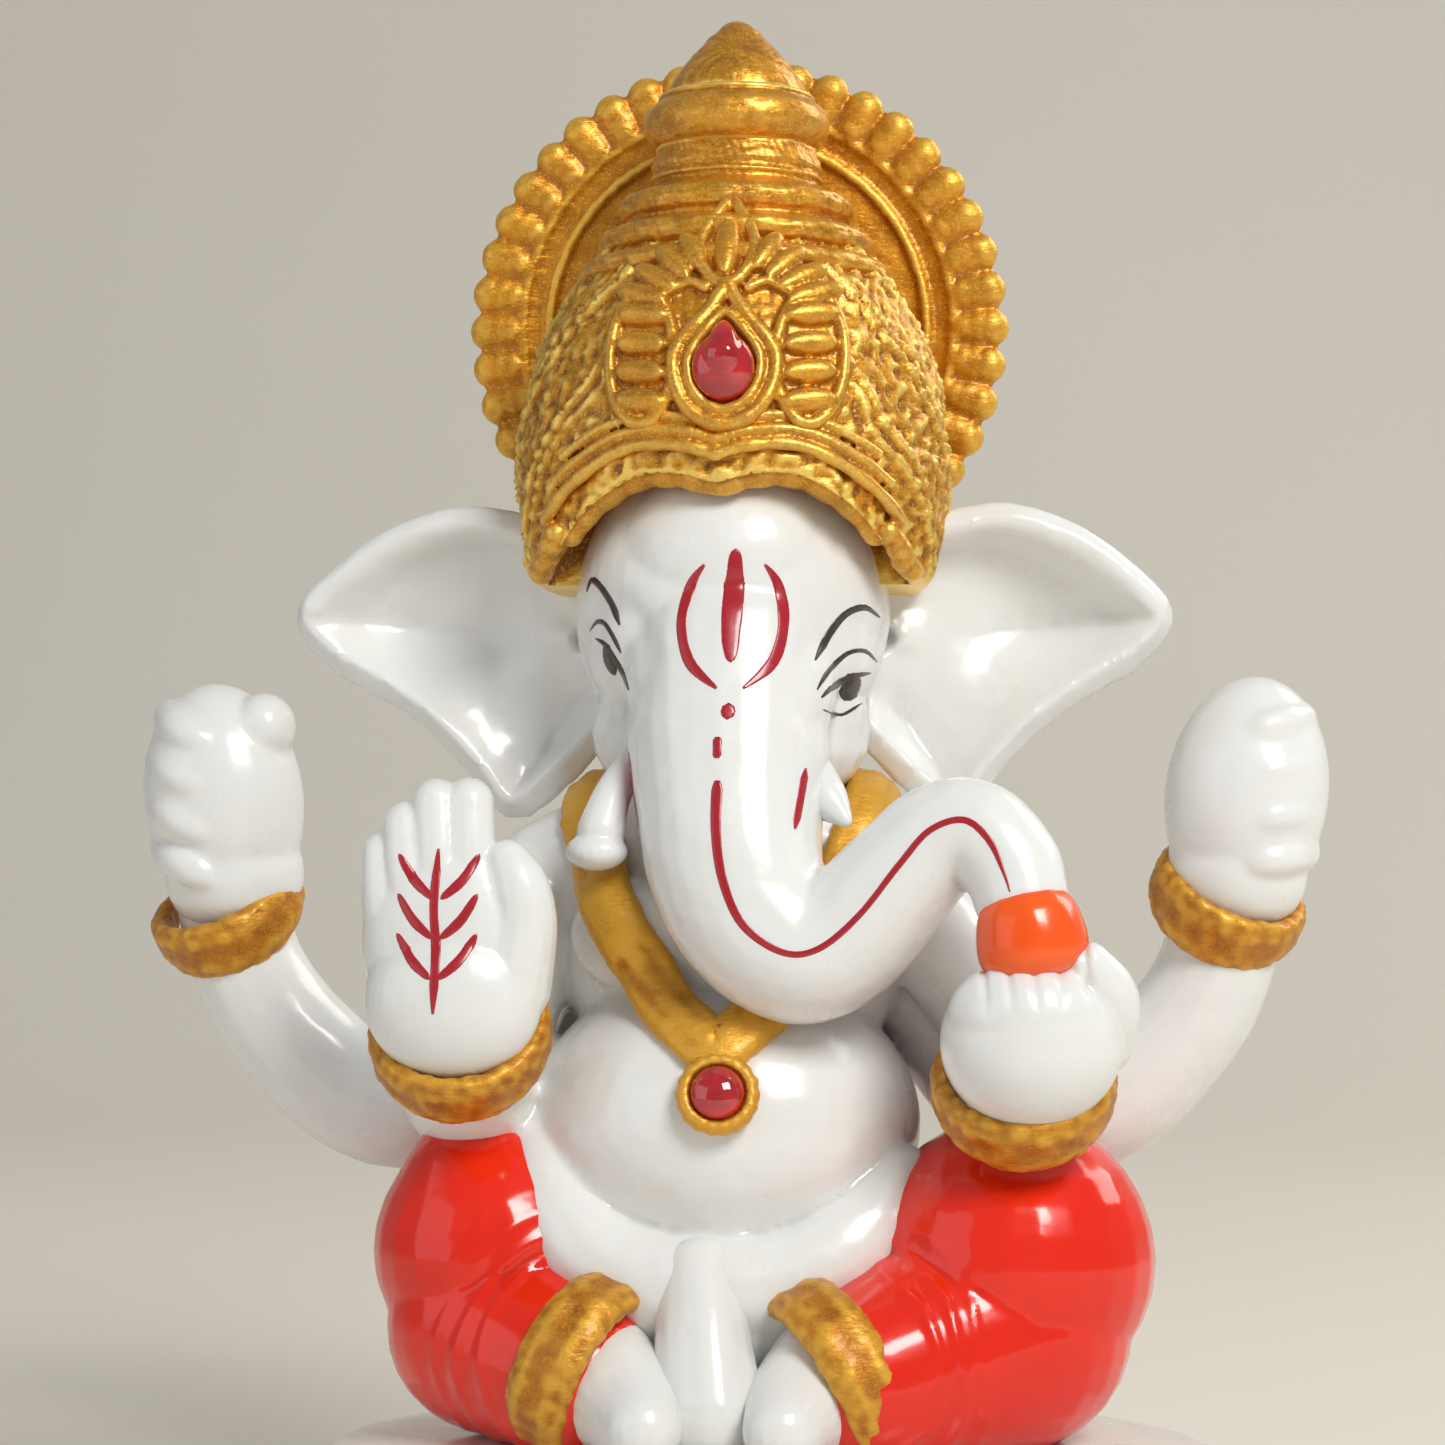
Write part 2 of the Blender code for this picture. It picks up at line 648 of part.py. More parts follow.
def make_cuffs():
    front_right = hoop("front_cuff_right", (PALM_X, -14.8, 47.2), (0.0, -0.80, 0.60), FRONT_CUFF,
                       gold("front_cuff_right"))
    front_left = hoop("front_cuff_left", (BOWL_X - 0.6, -15.6, 43.8), (0.0, -0.72, 0.69), FRONT_CUFF,
                      gold("front_cuff_left"))
    rear_right = hoop("rear_cuff_right", (-42.0, 4.0, 55.8), (-0.28, -0.55, 0.78), REAR_CUFF,
                      gold("rear_cuff_right"))
    rear_left = hoop("rear_cuff_left", (39.4, 4.0, 57.0), (0.36, -0.55, 0.75), REAR_CUFF,
                     gold("rear_cuff_left"))
    return front_right, front_left, rear_right, rear_left


def make_necklace(torso):
    loop = [(0.4, -16.0, 45.5), (5.4, -13.0, 51.5), (9.4, -9.0, 58.5), (11.6, -4.0, 65.0), (11.0, 3.0, 67.0),
            (6.5, 9.0, 63.0), (0.0, 10.0, 61.5)]
    route = loop + [(-x, y, z) for x, y, z in reversed(loop[1:-1])]
    dense = curve(route + route[:1], 2)[:-1]
    return tube("necklace", snap(dense, torso, 0.5), 3.8, 2.6, gold("necklace"), closed=True)


def button(name, centre, outward, radius, depth, mat, segments):
    """Flattened ball that faces along outward."""
    bm = bmesh.new()
    facing = outward.to_track_quat("Z", "Y").to_matrix().to_4x4()
    size = Matrix.Diagonal((radius * MM, radius * MM, depth * MM, 1.0))
    bmesh.ops.create_uvsphere(bm, u_segments=segments, v_segments=8, radius=1.0,
                              matrix=Matrix.Translation(centre * MM) @ facing @ size)
    return make_object(name, bm, mat)


def make_pendant(torso):
    x, y, z, nx, ny, nz = snap([(0.8, -18.0, 43.4)], torso, 0.9)[0]
    outward = Vector((nx, ny, nz))
    centre = Vector((x, y, z))
    setting = button("pendant_setting", centre, outward, 3.2, 1.6, gold("pendant_setting"), 16)
    ruby = paint("pendant_stone", RUBY, 0.1)
    stone = button("pendant_stone", centre + outward * 1.2, outward, 2.05, 1.5, ruby, 14)
    return setting, stone


def make_modak():
    profile = [(3.2, -3.4), (4.0, -2.4), (4.1, -1.0), (3.7, 1.0), (3.5, 2.6), (2.6, 3.2)]
    obj = lathe("modak", profile, paint("modak", ORANGE, 0.3), segments=20)
    lean = Matrix.Rotation(math.radians(-10), 4, "Y")
    obj.data.transform(Matrix.Translation(Vector((24.2, -20.0, 55.0)) * MM) @ lean)
    return obj


def build():
    clear_scene()
    make_seat()
    torso = make_torso()
    head = make_head()
    ears = [make_ear(RIGHT, "ear_right"), make_ear(LEFT, "ear_left")]
    tusks = make_tusks()
    cap, tiers, drum = make_cap(), make_tiers(), make_drum()
    make_finial()
    brim = make_brim(head)
    medallion, stone = make_medallion(), make_stone()
    make_halo()
    front_arms = [make_front_arm(RIGHT, "front_arm_right"), make_front_arm(LEFT, "front_arm_left")]
    rear_arms = [make_rear_arm(RIGHT, "rear_arm_right"), make_rear_arm(LEFT, "rear_arm_left")]
    rear_hands = [make_rear_hand(RIGHT, "rear_hand_right"), make_rear_hand(LEFT, "rear_hand_left")]
    palm, bowl = make_palm_hand("front_hand_right"), make_bowl_hand("front_hand_left")
    make_cuffs()
    legs = make_legs()
    hems = make_hems()
    feet = make_feet()
    pleat = make_pleat()
    seat = make_dhoti_seat()
    necklace = make_necklace(torso)
    setting, pendant = make_pendant(torso)
    modak = make_modak()

    never_cut_with = ("seat_plinth", "halo", "crown_finial")
    forms = {obj.name: spare(obj) for obj in bpy.data.objects
             if not obj.hide_render and obj.name not in never_cut_with}

    def clear(obj, *names):
        return clear_of(obj, *(forms[name] for name in names))

    back = block((-30.0, HALO_FRONT - GAP, 78.0), (30.0, 40.0, 125.0))
    window = face_window()
    clear(torso, "seat_cushion")
    clear(head, "torso")
    for piece in (cap, tiers, drum):
        cut(piece, back)
    cut(head, back)
    cut(cap, window)
    clear(cap, "head", "crown_brim")
    clear(brim, "head")
    clear(medallion, "crown_cap", "crown_brim", "crown_tiers")
    clear(stone, "crown_medallion", "crown_cap")
    for ear in ears:
        clear(ear, "head", "crown_cap", "crown_brim", "torso")
    for tusk in tusks:
        clear(tusk, "head")
    clear(necklace, "torso", "head", "ear_right", "ear_left", "tusk_right", "tusk_left")
    clear(setting, "torso", "necklace", "head")
    clear(pendant, "pendant_setting", "head")
    for side, arm in zip(("right", "left"), front_arms):
        clear(arm, "torso", "front_cuff_" + side, "necklace")
    for side, arm in zip(("right", "left"), rear_arms):
        clear(arm, "torso", "front_arm_" + side, "rear_cuff_" + side, "necklace")
    for side, hand in zip(("right", "left"), rear_hands):
        clear(hand, "rear_cuff_" + side, "rear_arm_" + side)
    for side, hand in (("right", palm), ("left", bowl)):
        clear(hand, "front_cuff_" + side, "front_arm_" + side)
    clear(bowl, "head")
    clear(modak, "front_hand_left", "head")
    for hem in hems:
        clear(hem, "seat_cushion", "torso")
    for side, foot in zip(("right", "left"), feet):
        clear(foot, "seat_cushion", "torso", "hem_" + side)
    clear(pleat, "torso", "seat_cushion", "foot_right", "foot_left", "hem_right", "hem_left")
    for side, leg in zip(("right", "left"), legs):
        clear(leg, "seat_cushion", "torso", "hem_" + side, "foot_" + side, "front_arm_" + side,
              "rear_arm_" + side, "front_cuff_" + side, "front_pleat")
    clear(seat, "seat_cushion", "torso", "leg_right", "leg_left", "hem_right", "hem_left",
          "foot_right", "foot_left", "front_pleat")
    for form in list(forms.values()) + [back, window]:
        bpy.data.objects.remove(form, do_unlink=True)
    for obj in bpy.data.objects:
        finish(obj)


build()
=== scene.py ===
import math

import bmesh
import bpy
import numpy as np
from mathutils import Matrix, Vector, noise
from mathutils.bvhtree import BVHTree


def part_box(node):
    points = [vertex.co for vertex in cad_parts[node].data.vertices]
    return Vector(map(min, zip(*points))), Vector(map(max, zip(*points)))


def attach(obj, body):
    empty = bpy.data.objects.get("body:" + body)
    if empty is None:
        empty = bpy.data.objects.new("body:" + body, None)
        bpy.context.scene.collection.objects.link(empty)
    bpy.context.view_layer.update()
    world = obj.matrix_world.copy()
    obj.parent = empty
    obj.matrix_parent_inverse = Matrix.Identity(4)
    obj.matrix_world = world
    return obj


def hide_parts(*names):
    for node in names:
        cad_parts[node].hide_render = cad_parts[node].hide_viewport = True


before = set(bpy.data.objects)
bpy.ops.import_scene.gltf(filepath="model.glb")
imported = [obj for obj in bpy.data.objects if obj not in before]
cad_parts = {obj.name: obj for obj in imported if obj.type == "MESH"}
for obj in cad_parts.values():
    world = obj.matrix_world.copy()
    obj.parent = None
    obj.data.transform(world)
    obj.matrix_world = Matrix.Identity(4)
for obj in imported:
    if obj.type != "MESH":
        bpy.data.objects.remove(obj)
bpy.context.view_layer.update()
mm = 0.001      # every length below is in millimetres until it goes into a mesh
print("frame loaded:", len(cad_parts), "nodes")


def middle(node):
    low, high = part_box(node)
    return (low + high) / 2 / mm


def near(node, points):
    # points given from the middle of a node; anything after x, y, z is kept
    cx, cy, cz = middle(node)
    return [(cx + p[0], cy + p[1], cz + p[2], *p[3:]) for p in points]


def onto(node, points):
    # the same for (x, z) pairs that are laid on a surface from the front
    cx, _, cz = middle(node)
    return [(cx + p[0], cz + p[1], *p[2:]) for p in points]


def smoothLine(points, gap=0.8):
    # Catmull-Rom through tuples of any length, about one sample per gap
    ends = [points[0]] + list(points) + [points[-1]]
    line = []
    for a, b, c, d in zip(ends, ends[1:], ends[2:], ends[3:]):
        steps = max(2, math.ceil(math.dist(b[:3], c[:3]) / gap))
        for k in range(steps):
            t = k / steps
            line.append(tuple(0.5 * (2 * q + (r - p) * t + (2 * p - 5 * q + 4 * r - s) * t * t
                                     + (3 * q - p - 3 * r + s) * t ** 3) for p, q, r, s in zip(a, b, c, d)))
    return line + [tuple(points[-1])]


unitBalls = {}


def unitBall(segments, rings):
    if (segments, rings) not in unitBalls:
        bm = bmesh.new()
        bmesh.ops.create_uvsphere(bm, u_segments=segments, v_segments=rings, radius=1.0)
        unitBalls[segments, rings] = bpy.data.meshes.new("unitBall")
        bm.to_mesh(unitBalls[segments, rings])
        bm.free()
    return unitBalls[segments, rings]


def ball(bm, centre, radii, turn=(0.0, 0.0, 0.0), segments=20, rings=12):
    # a copy of one unit ball, because the create operator gets slow in a full bmesh
    place = (Matrix.Translation(Vector(centre[:3]) * mm) @ Matrix.Rotation(turn[2], 4, "Z")
             @ Matrix.Rotation(turn[1], 4, "Y") @ Matrix.Rotation(turn[0], 4, "X")
             @ Matrix.Diagonal((*(Vector(radii) * mm), 1.0)))
    copy = unitBall(segments, rings).copy()
    copy.transform(place)
    bm.from_mesh(copy)
    bpy.data.meshes.remove(copy)


def limb(bm, points, gap=0.8, segments=16):
    # balls along a smooth line of (x, y, z, radius)
    for x, y, z, radius in smoothLine(points, gap):
        ball(bm, (x, y, z), (radius,) * 3, segments=segments, rings=segments // 2 + 2)


def toPiece(name, bm, tidy=True):
    if tidy:
        bmesh.ops.remove_doubles(bm, verts=bm.verts, dist=0.0005 * mm)
        bmesh.ops.recalc_face_normals(bm, faces=bm.faces)
    mesh = bpy.data.meshes.new(name)
    bm.to_mesh(mesh)
    bm.free()
    mesh.shade_smooth()
    piece = bpy.data.objects.new(name, mesh)
    bpy.context.scene.collection.objects.link(piece)
    return piece


def settled(piece):
    # swap the mesh for the one its modifiers make
    graph = bpy.context.evaluated_depsgraph_get()
    mesh = bpy.data.meshes.new_from_object(piece.evaluated_get(graph))
    piece.modifiers.clear()
    piece.data = mesh
    mesh.shade_smooth()
    return piece


def cast(name, bm, voxel=0.35, relax=3):
    # one smooth closed skin round everything in bm, as in a one-piece mould
    piece = toPiece(name, bm, tidy=False)
    fuse = piece.modifiers.new("fuse", "REMESH")
    fuse.mode = "VOXEL"
    fuse.voxel_size = voxel * mm
    if relax:
        soften = piece.modifiers.new("soften", "SMOOTH")
        soften.factor = 0.5
        soften.iterations = relax
    return settled(piece)


def readPoints(mesh, what="co"):
    flat = np.empty(len(mesh.vertices) * 3)
    mesh.vertices.foreach_get(what, flat)
    return flat.reshape(-1, 3)


def sculpt(piece, rule):
    # moves every point along its normal by rule(points) millimetres
    mesh = piece.data
    points = readPoints(mesh)
    points += readPoints(mesh, "normal") * (rule(points / mm) * mm)[:, None]
    mesh.vertices.foreach_set("co", points.ravel())
    mesh.update()
    return piece


def lumps(points, size, seed=0.0):
    # smooth noise, about -1 to 1, with bumps of the given size
    return np.array([noise.noise(p) for p in (points / size + seed).tolist()])


def cells(points, size):
    # rounded cells: 1 at a cell's heart, falling to 0 at its edge
    return np.array([max(0.0, 1.0 - 1.6 * noise.voronoi(p)[0][0]) for p in (points / size).tolist()])


def hill(distance, width):
    return np.exp(-(distance / width) ** 2)


hollowSet = {"passes": 6, "depth": 0.12}


def markHollows(piece):
    # stores how far each point lies below its surroundings, -1 to 1, for the paints to read
    mesh = piece.data
    count = len(mesh.vertices)
    edges = np.empty(len(mesh.edges) * 2, dtype=np.int64)
    mesh.edges.foreach_get("vertices", edges)
    a, b = edges.reshape(-1, 2).T
    points = readPoints(mesh)
    links = np.maximum(np.bincount(a, minlength=count) + np.bincount(b, minlength=count), 1)

    def spread(values):
        # each point takes the mean of its neighbours
        sums = [np.bincount(a, column[b], count) + np.bincount(b, column[a], count) for column in values.T]
        return np.stack(sums, axis=1) / links[:, None]

    soft = points
    for _ in range(hollowSet["passes"]):
        soft = 0.5 * soft + 0.5 * spread(soft)
    below = np.sum((soft - points) * readPoints(mesh, "normal"), axis=1)[:, None]
    hollow = below / (hollowSet["depth"] * mm)
    for _ in range(2):
        hollow = 0.5 * hollow + 0.5 * spread(hollow)
    layer = mesh.attributes.new("hollow", "FLOAT", "POINT")
    layer.data.foreach_set("value", np.clip(hollow[:, 0], -1.0, 1.0))
    return piece


def turned(bm, profile, steps=96):
    # spins (radius, height) pairs round Z; the ends are closed on the axis
    line = [bm.verts.new((radius, 0.0, height)) for radius, height in profile]
    edges = [bm.edges.new(pair) for pair in zip(line, line[1:])]
    bmesh.ops.spin(bm, geom=line + edges, cent=(0, 0, 0), axis=(0, 0, 1), angle=2 * math.pi, steps=steps,
                   use_merge=True)
    bmesh.ops.remove_doubles(bm, verts=bm.verts, dist=0.00001)
    bmesh.ops.recalc_face_normals(bm, faces=bm.faces)


def shift(bm, grown, way):
    # moves what an extrude made
    bmesh.ops.translate(bm, verts=[part for part in grown if isinstance(part, bmesh.types.BMVert)], vec=way)


def closeEnds(bm):
    rims = [edge for edge in bm.edges if edge.is_boundary]
    if rims:
        bmesh.ops.holes_fill(bm, edges=rims, sides=0)


def trimBehind(bm, y):
    # cuts everything behind y away and closes the flat face
    bmesh.ops.bisect_plane(bm, geom=bm.verts[:] + bm.edges[:] + bm.faces[:], plane_co=(0, y * mm, 0),
                           plane_no=(0, 1, 0), clear_outer=True)
    closeEnds(bm)


def sweep(bm, places, outward, section, sides):
    # a closed strip through places; section(turn) gives how far out and how high a point of it lies
    count = len(places)
    made = bmesh.ops.create_grid(bm, x_segments=count, y_segments=sides, size=1.0)["verts"]
    places = [Vector(p[:3]) for p in places]
    for vert in made:
        here = round((vert.co.x + 1) / 2 * count) % count
        turn = 2 * math.pi * round((vert.co.y + 1) / 2 * sides) / sides
        along = (places[(here + 1) % count] - places[here - 1]).normalized()
        across = along.cross(outward[here]).normalized()
        lift = across.cross(along).normalized()
        wide, high = section(turn)
        vert.co = (places[here] + across * wide + lift * high) * mm
    bmesh.ops.remove_doubles(bm, verts=made, dist=0.001 * mm)


def surfaceOf(*pieces):
    # one search tree over several pieces
    points = []
    faces = []
    for piece in pieces:
        faces += [[i + len(points) for i in face.vertices] for face in piece.data.polygons]
        points += [vert.co / mm for vert in piece.data.vertices]
    return BVHTree.FromPolygons(points, faces)


raySet = {"start": -80.0, "near": -12.0}


def fromFront(tree, x, z):
    # where a ray from the front meets the surface, and the surface's direction there
    spot, normal, _, _ = tree.ray_cast(Vector((x, raySet["start"], z)), Vector((0, 1, 0)))
    if spot is None:
        spot, normal, _, _ = tree.find_nearest(Vector((x, raySet["near"], z)))
    return spot, normal


def snapTo(tree, points, lift=0.0):
    spots = []
    ways = []
    for point in points:
        spot, normal, _, _ = tree.find_nearest(Vector(point[:3]))
        spots.append(spot + normal * lift)
        ways.append(normal)
    return spots, ways


def layCord(bm, tree, line, radius, lift, knots=0.0):
    # a raised cord over a surface along (x, z) points; knots makes its thickness rise and fall
    for k, (x, z) in enumerate(smoothLine(line, 0.45)):
        spot, normal = fromFront(tree, x, z)
        thick = radius * (1 + knots * math.sin(k * 0.9))
        ball(bm, spot + normal * lift, (thick,) * 3, segments=10, rings=7)


strokeSet = {"gap": 0.35, "across": 6, "lift": 0.07, "sunk": 0.02, "depth": 0.25}


def brushStroke(bm, tree, line, width, taper):
    # a film of paint over a surface along (x, z) points; u runs along it and v across it
    route = smoothLine(line, strokeSet["gap"])
    rows = len(route) - 1
    layer = bm.loops.layers.uv.verify()
    old = set(bm.faces)
    made = bmesh.ops.create_grid(bm, x_segments=rows, y_segments=strokeSet["across"], size=1.0)["verts"]
    strip = [face for face in bm.faces if face not in old]
    for face in strip:
        for loop in face.loops:
            loop[layer].uv = ((loop.vert.co.x + 1) / 2, (loop.vert.co.y + 1) / 2)
    for vert in made:
        k = round((vert.co.x + 1) / 2 * rows)
        v = vert.co.y
        t = k / rows
        if taper == "oval":
            body = math.sqrt(max(1 - (2 * t - 1) ** 2, 0.004))
        elif taper == "blunt":
            body = min(1.0, 0.55 + 3 * min(t, 1 - t))
        elif taper == "thinning":
            body = min(1.0, 0.5 + 20 * t, 0.2 + 8 * (1 - t)) * (1 - 0.42 * min(1.0, 2.6 * t))
        else:
            body = 0.25 + 0.75 * min(1.0, 5 * min(t, 1 - t))
        wobble = 1 + 0.10 * noise.noise((t * 7, width, line[0][0]))
        ahead = Vector(route[min(k + 1, rows)][:2])
        behind = Vector(route[max(k - 1, 0)][:2])
        along = (ahead - behind).normalized()
        reach = 0.5 * width * body * wobble * v
        x = route[k][0] - along.y * reach
        z = route[k][1] + along.x * reach
        spot, normal = fromFront(tree, x, z)
        vert.co = (spot + normal * (strokeSet["lift"] * (1 - v ** 4) - strokeSet["sunk"])) * mm
    # a second layer just inside the surface closes the film
    sheet = strip + list({edge for face in strip for edge in face.edges}) + made
    grown = bmesh.ops.extrude_face_region(bm, geom=sheet, use_keep_orig=True)["geom"]
    shift(bm, grown, (0, strokeSet["depth"] * mm, 0))
    bmesh.ops.recalc_face_normals(bm, faces=[face for face in bm.faces if face not in old])


class Signal:
    # a node's output that can be used in sums
    def __init__(self, finish, socket):
        self.finish = finish
        self.socket = socket

    def sum(self, kind, first, second):
        return self.finish.node("ShaderNodeMath", {"operation": kind}, {0: first, 1: second})

    def __add__(self, other):
        return self.sum("ADD", self, other)

    def __radd__(self, other):
        return self.sum("ADD", other, self)

    def __sub__(self, other):
        return self.sum("SUBTRACT", self, other)

    def __rsub__(self, other):
        return self.sum("SUBTRACT", other, self)

    def __mul__(self, other):
        return self.sum("MULTIPLY", self, other)

    def __rmul__(self, other):
        return self.sum("MULTIPLY", other, self)


class Finish:
    def __init__(self, name, **same):
        self.material = bpy.data.materials.new(name)
        self.material.use_nodes = True
        self.tree = self.material.node_tree
        self.shader = self.tree.nodes["Principled BSDF"]
        for socket, value in same.items():
            self.shader.inputs[socket.replace("_", " ")].default_value = value

    def feed(self, socket, value):
        if isinstance(value, Signal):
            self.tree.links.new(value.socket, socket)
        else:
            socket.default_value = value

    def node(self, kind, settings=None, inputs=None, out=0):
        node = self.tree.nodes.new(kind)
        for name, value in (settings or {}).items():
            if name == "stops":
                for spare in list(node.color_ramp.elements)[2:]:
                    node.color_ramp.elements.remove(spare)
                while len(node.color_ramp.elements) < len(value):
                    node.color_ramp.elements.new(1.0)
                for element, (position, colour) in zip(node.color_ramp.elements, value):
                    element.position = position
                    element.color = colour
            else:
                setattr(node, name, value)
        for name, value in (inputs or {}).items():
            self.feed(node.inputs[name], value)
        return Signal(self, node.outputs[out])

    def place(self):
        return self.node("ShaderNodeTexCoord", out="Object")

    def cloud(self, scale, detail=3.0, rough=0.5, vector=None):
        return self.node("ShaderNodeTexNoise", {}, {"Vector": vector or self.place(), "Scale": scale,
                                                    "Detail": detail, "Roughness": rough}, out="Fac")

    def band(self, value, low, high, to=(0.0, 1.0)):
        return self.node("ShaderNodeMapRange", {"interpolation_type": "SMOOTHSTEP"},
                         {"Value": value, "From Min": low, "From Max": high,
                          "To Min": to[0], "To Max": to[1]})

    def mix(self, amount, first, second):
        return self.node("ShaderNodeMix", {"data_type": "RGBA"},
                         {"Factor": amount, 6: first, 7: second}, out=2)

    def hollow(self):
        return self.node("ShaderNodeAttribute", {"attribute_name": "hollow"}, out="Fac")

    def bump(self, height, strength, distance, after=None):
        inputs = {"Height": height, "Strength": strength, "Distance": distance * mm}
        if after:
            inputs["Normal"] = after
        return self.node("ShaderNodeBump", {}, inputs)

    def setSurface(self, **varying):
        # what changes over the surface, including the painted shade and painted highlight that some colours
        # carry
        for name, value in varying.items():
            self.feed(self.shader.inputs[name.replace("_", " ")], value)
        return self.material


def colour(red, green, blue):
    return (red, green, blue, 1.0)


def whiteResin(name, tint=(0.80, 0.815, 0.81)):
    paint = Finish(name, Coat_Weight=0.35, Coat_Roughness=0.12, Subsurface_Weight=0.12,
                   Subsurface_Radius=(1.0, 0.7, 0.45), Subsurface_Scale=0.0012)
    hollow = paint.hollow()
    warm = paint.mix(paint.band(paint.cloud(70), 0.35, 0.7), colour(*tint),
                     colour(tint[0] * 0.975, tint[1] * 0.965, tint[2] * 0.95))
    # painted shade: the white turns grey in the hollows
    shadeInHollows = paint.mix(paint.band(hollow, 0.15, 0.95, (0.0, 0.65)), warm, colour(0.50, 0.49, 0.46))
    speck = paint.band(paint.cloud(900, 1.0), 0.74, 0.82, (0.0, 0.22))
    skin = paint.bump(paint.cloud(240, 2.0), 0.30, 0.25)
    grain = paint.bump(paint.cloud(1700, 2.0), 0.16, 0.05, skin)
    return paint.setSurface(Base_Color=paint.mix(speck, shadeInHollows, colour(0.66, 0.62, 0.54)),
                      Roughness=paint.cloud(320) * 0.16 + 0.17, Normal=grain)


def goldPaint(name, base=(0.70, 0.30, 0.012), deep=(0.27, 0.085, 0.005), bright=(1.0, 0.70, 0.16),
              brushed=1.0, gloss=0.34, metal=0.62):
    # mica paint brushed over the casting, with a painted highlight on the ridges and painted shade, brown, in
    # the hollows
    paint = Finish(name, Coat_Weight=0.25, Coat_Roughness=0.18)
    hollow = paint.hollow()
    flakes = paint.node("ShaderNodeTexVoronoi", {}, {"Vector": paint.place(), "Scale": 8000.0}, out="Color")
    flake = paint.node("ShaderNodeSeparateColor", {}, {"Color": flakes})
    turn = paint.node("ShaderNodeMapping", {}, {"Vector": paint.place(), "Scale": (0.45, 1.0, 1.6),
                                                "Rotation": (0.2, 0.5, 0.0)})
    streak = paint.cloud(900, 3.0, 0.65, turn)
    cover = paint.band(paint.cloud(330, 4.0, 0.65) * 0.6 + streak * 0.4, 0.36, 0.62)
    body = paint.mix(cover, paint.mix(0.45, colour(*deep), colour(*base)), colour(*base))
    # painted highlight on the ridges, then painted shade in the hollows
    lit = paint.mix(paint.band(hollow, 0.0, -0.7, (0.0, 0.85)), body, colour(*bright))
    dark = paint.mix(paint.band(hollow, 0.0, 0.6, (0.0, 0.92)), lit, colour(*deep))
    spark = paint.mix(paint.band(flake, 0.72, 1.0, (0.0, 0.40)), dark, colour(*bright))
    rough = paint.bump(streak, 0.60 * brushed, 0.14)
    pits = paint.bump(paint.cloud(2600, 2.0), 0.40 * brushed, 0.06, rough)
    return paint.setSurface(Base_Color=spark, Metallic=paint.band(hollow, 0.1, 0.8, (metal, metal * 0.4)),
                      Roughness=streak * 0.24 + flake * 0.12 + gloss - 0.12, Normal=pits)


def enamel(name, base, deep, gloss=0.10, bumpy=1.0):
    paint = Finish(name, Coat_Weight=0.35, Coat_Roughness=0.08, Specular_IOR_Level=0.4)
    hollow = paint.hollow()
    thick = paint.cloud(120, 3.0)
    body = paint.mix(paint.band(thick, 0.35, 0.7, (0.0, 0.45)), colour(*base),
                     colour(base[0] * 0.86, base[1] * 0.6, base[2] * 0.6))
    # lighter and pinker on the ridges
    paleRidges = paint.mix(paint.band(hollow, -0.35, -0.95, (0.0, 0.22)), body,
                     colour(min(base[0] * 1.15, 1.0), base[1] * 2.0 + 0.02, base[2] * 2.0 + 0.02))
    # painted shade: deeper colour in the creases and hollows
    shadeInCreases = paint.mix(paint.band(hollow, 0.10, 0.85, (0.0, 0.75)), paleRidges, colour(*deep))
    flow = paint.bump(paint.cloud(190, 2.0), 0.35 * bumpy, 0.30)
    peel = paint.bump(paint.cloud(900, 2.0), 0.22 * bumpy, 0.07, flow)
    return paint.setSurface(Base_Color=shadeInCreases, Roughness=paint.cloud(420) * 0.14 + gloss, Normal=peel)


def strokePaint(name, base, edge, soft=0.25):
    # a brushed line with a darker rim
    paint = Finish(name, Coat_Weight=0.3, Coat_Roughness=0.15)
    across = paint.node("ShaderNodeSeparateXYZ", {}, {0: paint.node("ShaderNodeUVMap", {"uv_map": "UVMap"})},
                        out="Y")
    middleOut = (across - 0.5) * (across - 0.5) * 4.0
    rim = paint.band(middleOut + paint.cloud(900, 2.0) * 0.4, 0.75, 1.25)
    body = paint.mix(paint.band(paint.cloud(700, 3.0), 0.35, 0.7, (0.0, soft)), colour(*base), colour(*edge))
    return paint.setSurface(Base_Color=paint.mix(rim, body, colour(*edge)),
                      Roughness=paint.cloud(800) * 0.2 + 0.16,
                      Normal=paint.bump(paint.cloud(1500, 2.0), 0.25, 0.05))


def jewel(name, base, deep):
    paint = Finish(name, Coat_Weight=1.0, Coat_Roughness=0.02, Specular_IOR_Level=0.7)
    glow = paint.band(paint.node("ShaderNodeLayerWeight", {}, {"Blend": 0.35}, out="Facing"), 0.0, 1.0)
    shade = paint.mix(paint.band(paint.cloud(420, 2.0), 0.3, 0.7), colour(*base), colour(*deep))
    return paint.setSurface(Base_Color=shade, Roughness=glow * 0.05 + 0.05,
                      Normal=paint.bump(paint.cloud(600, 2.0), 0.15, 0.08))


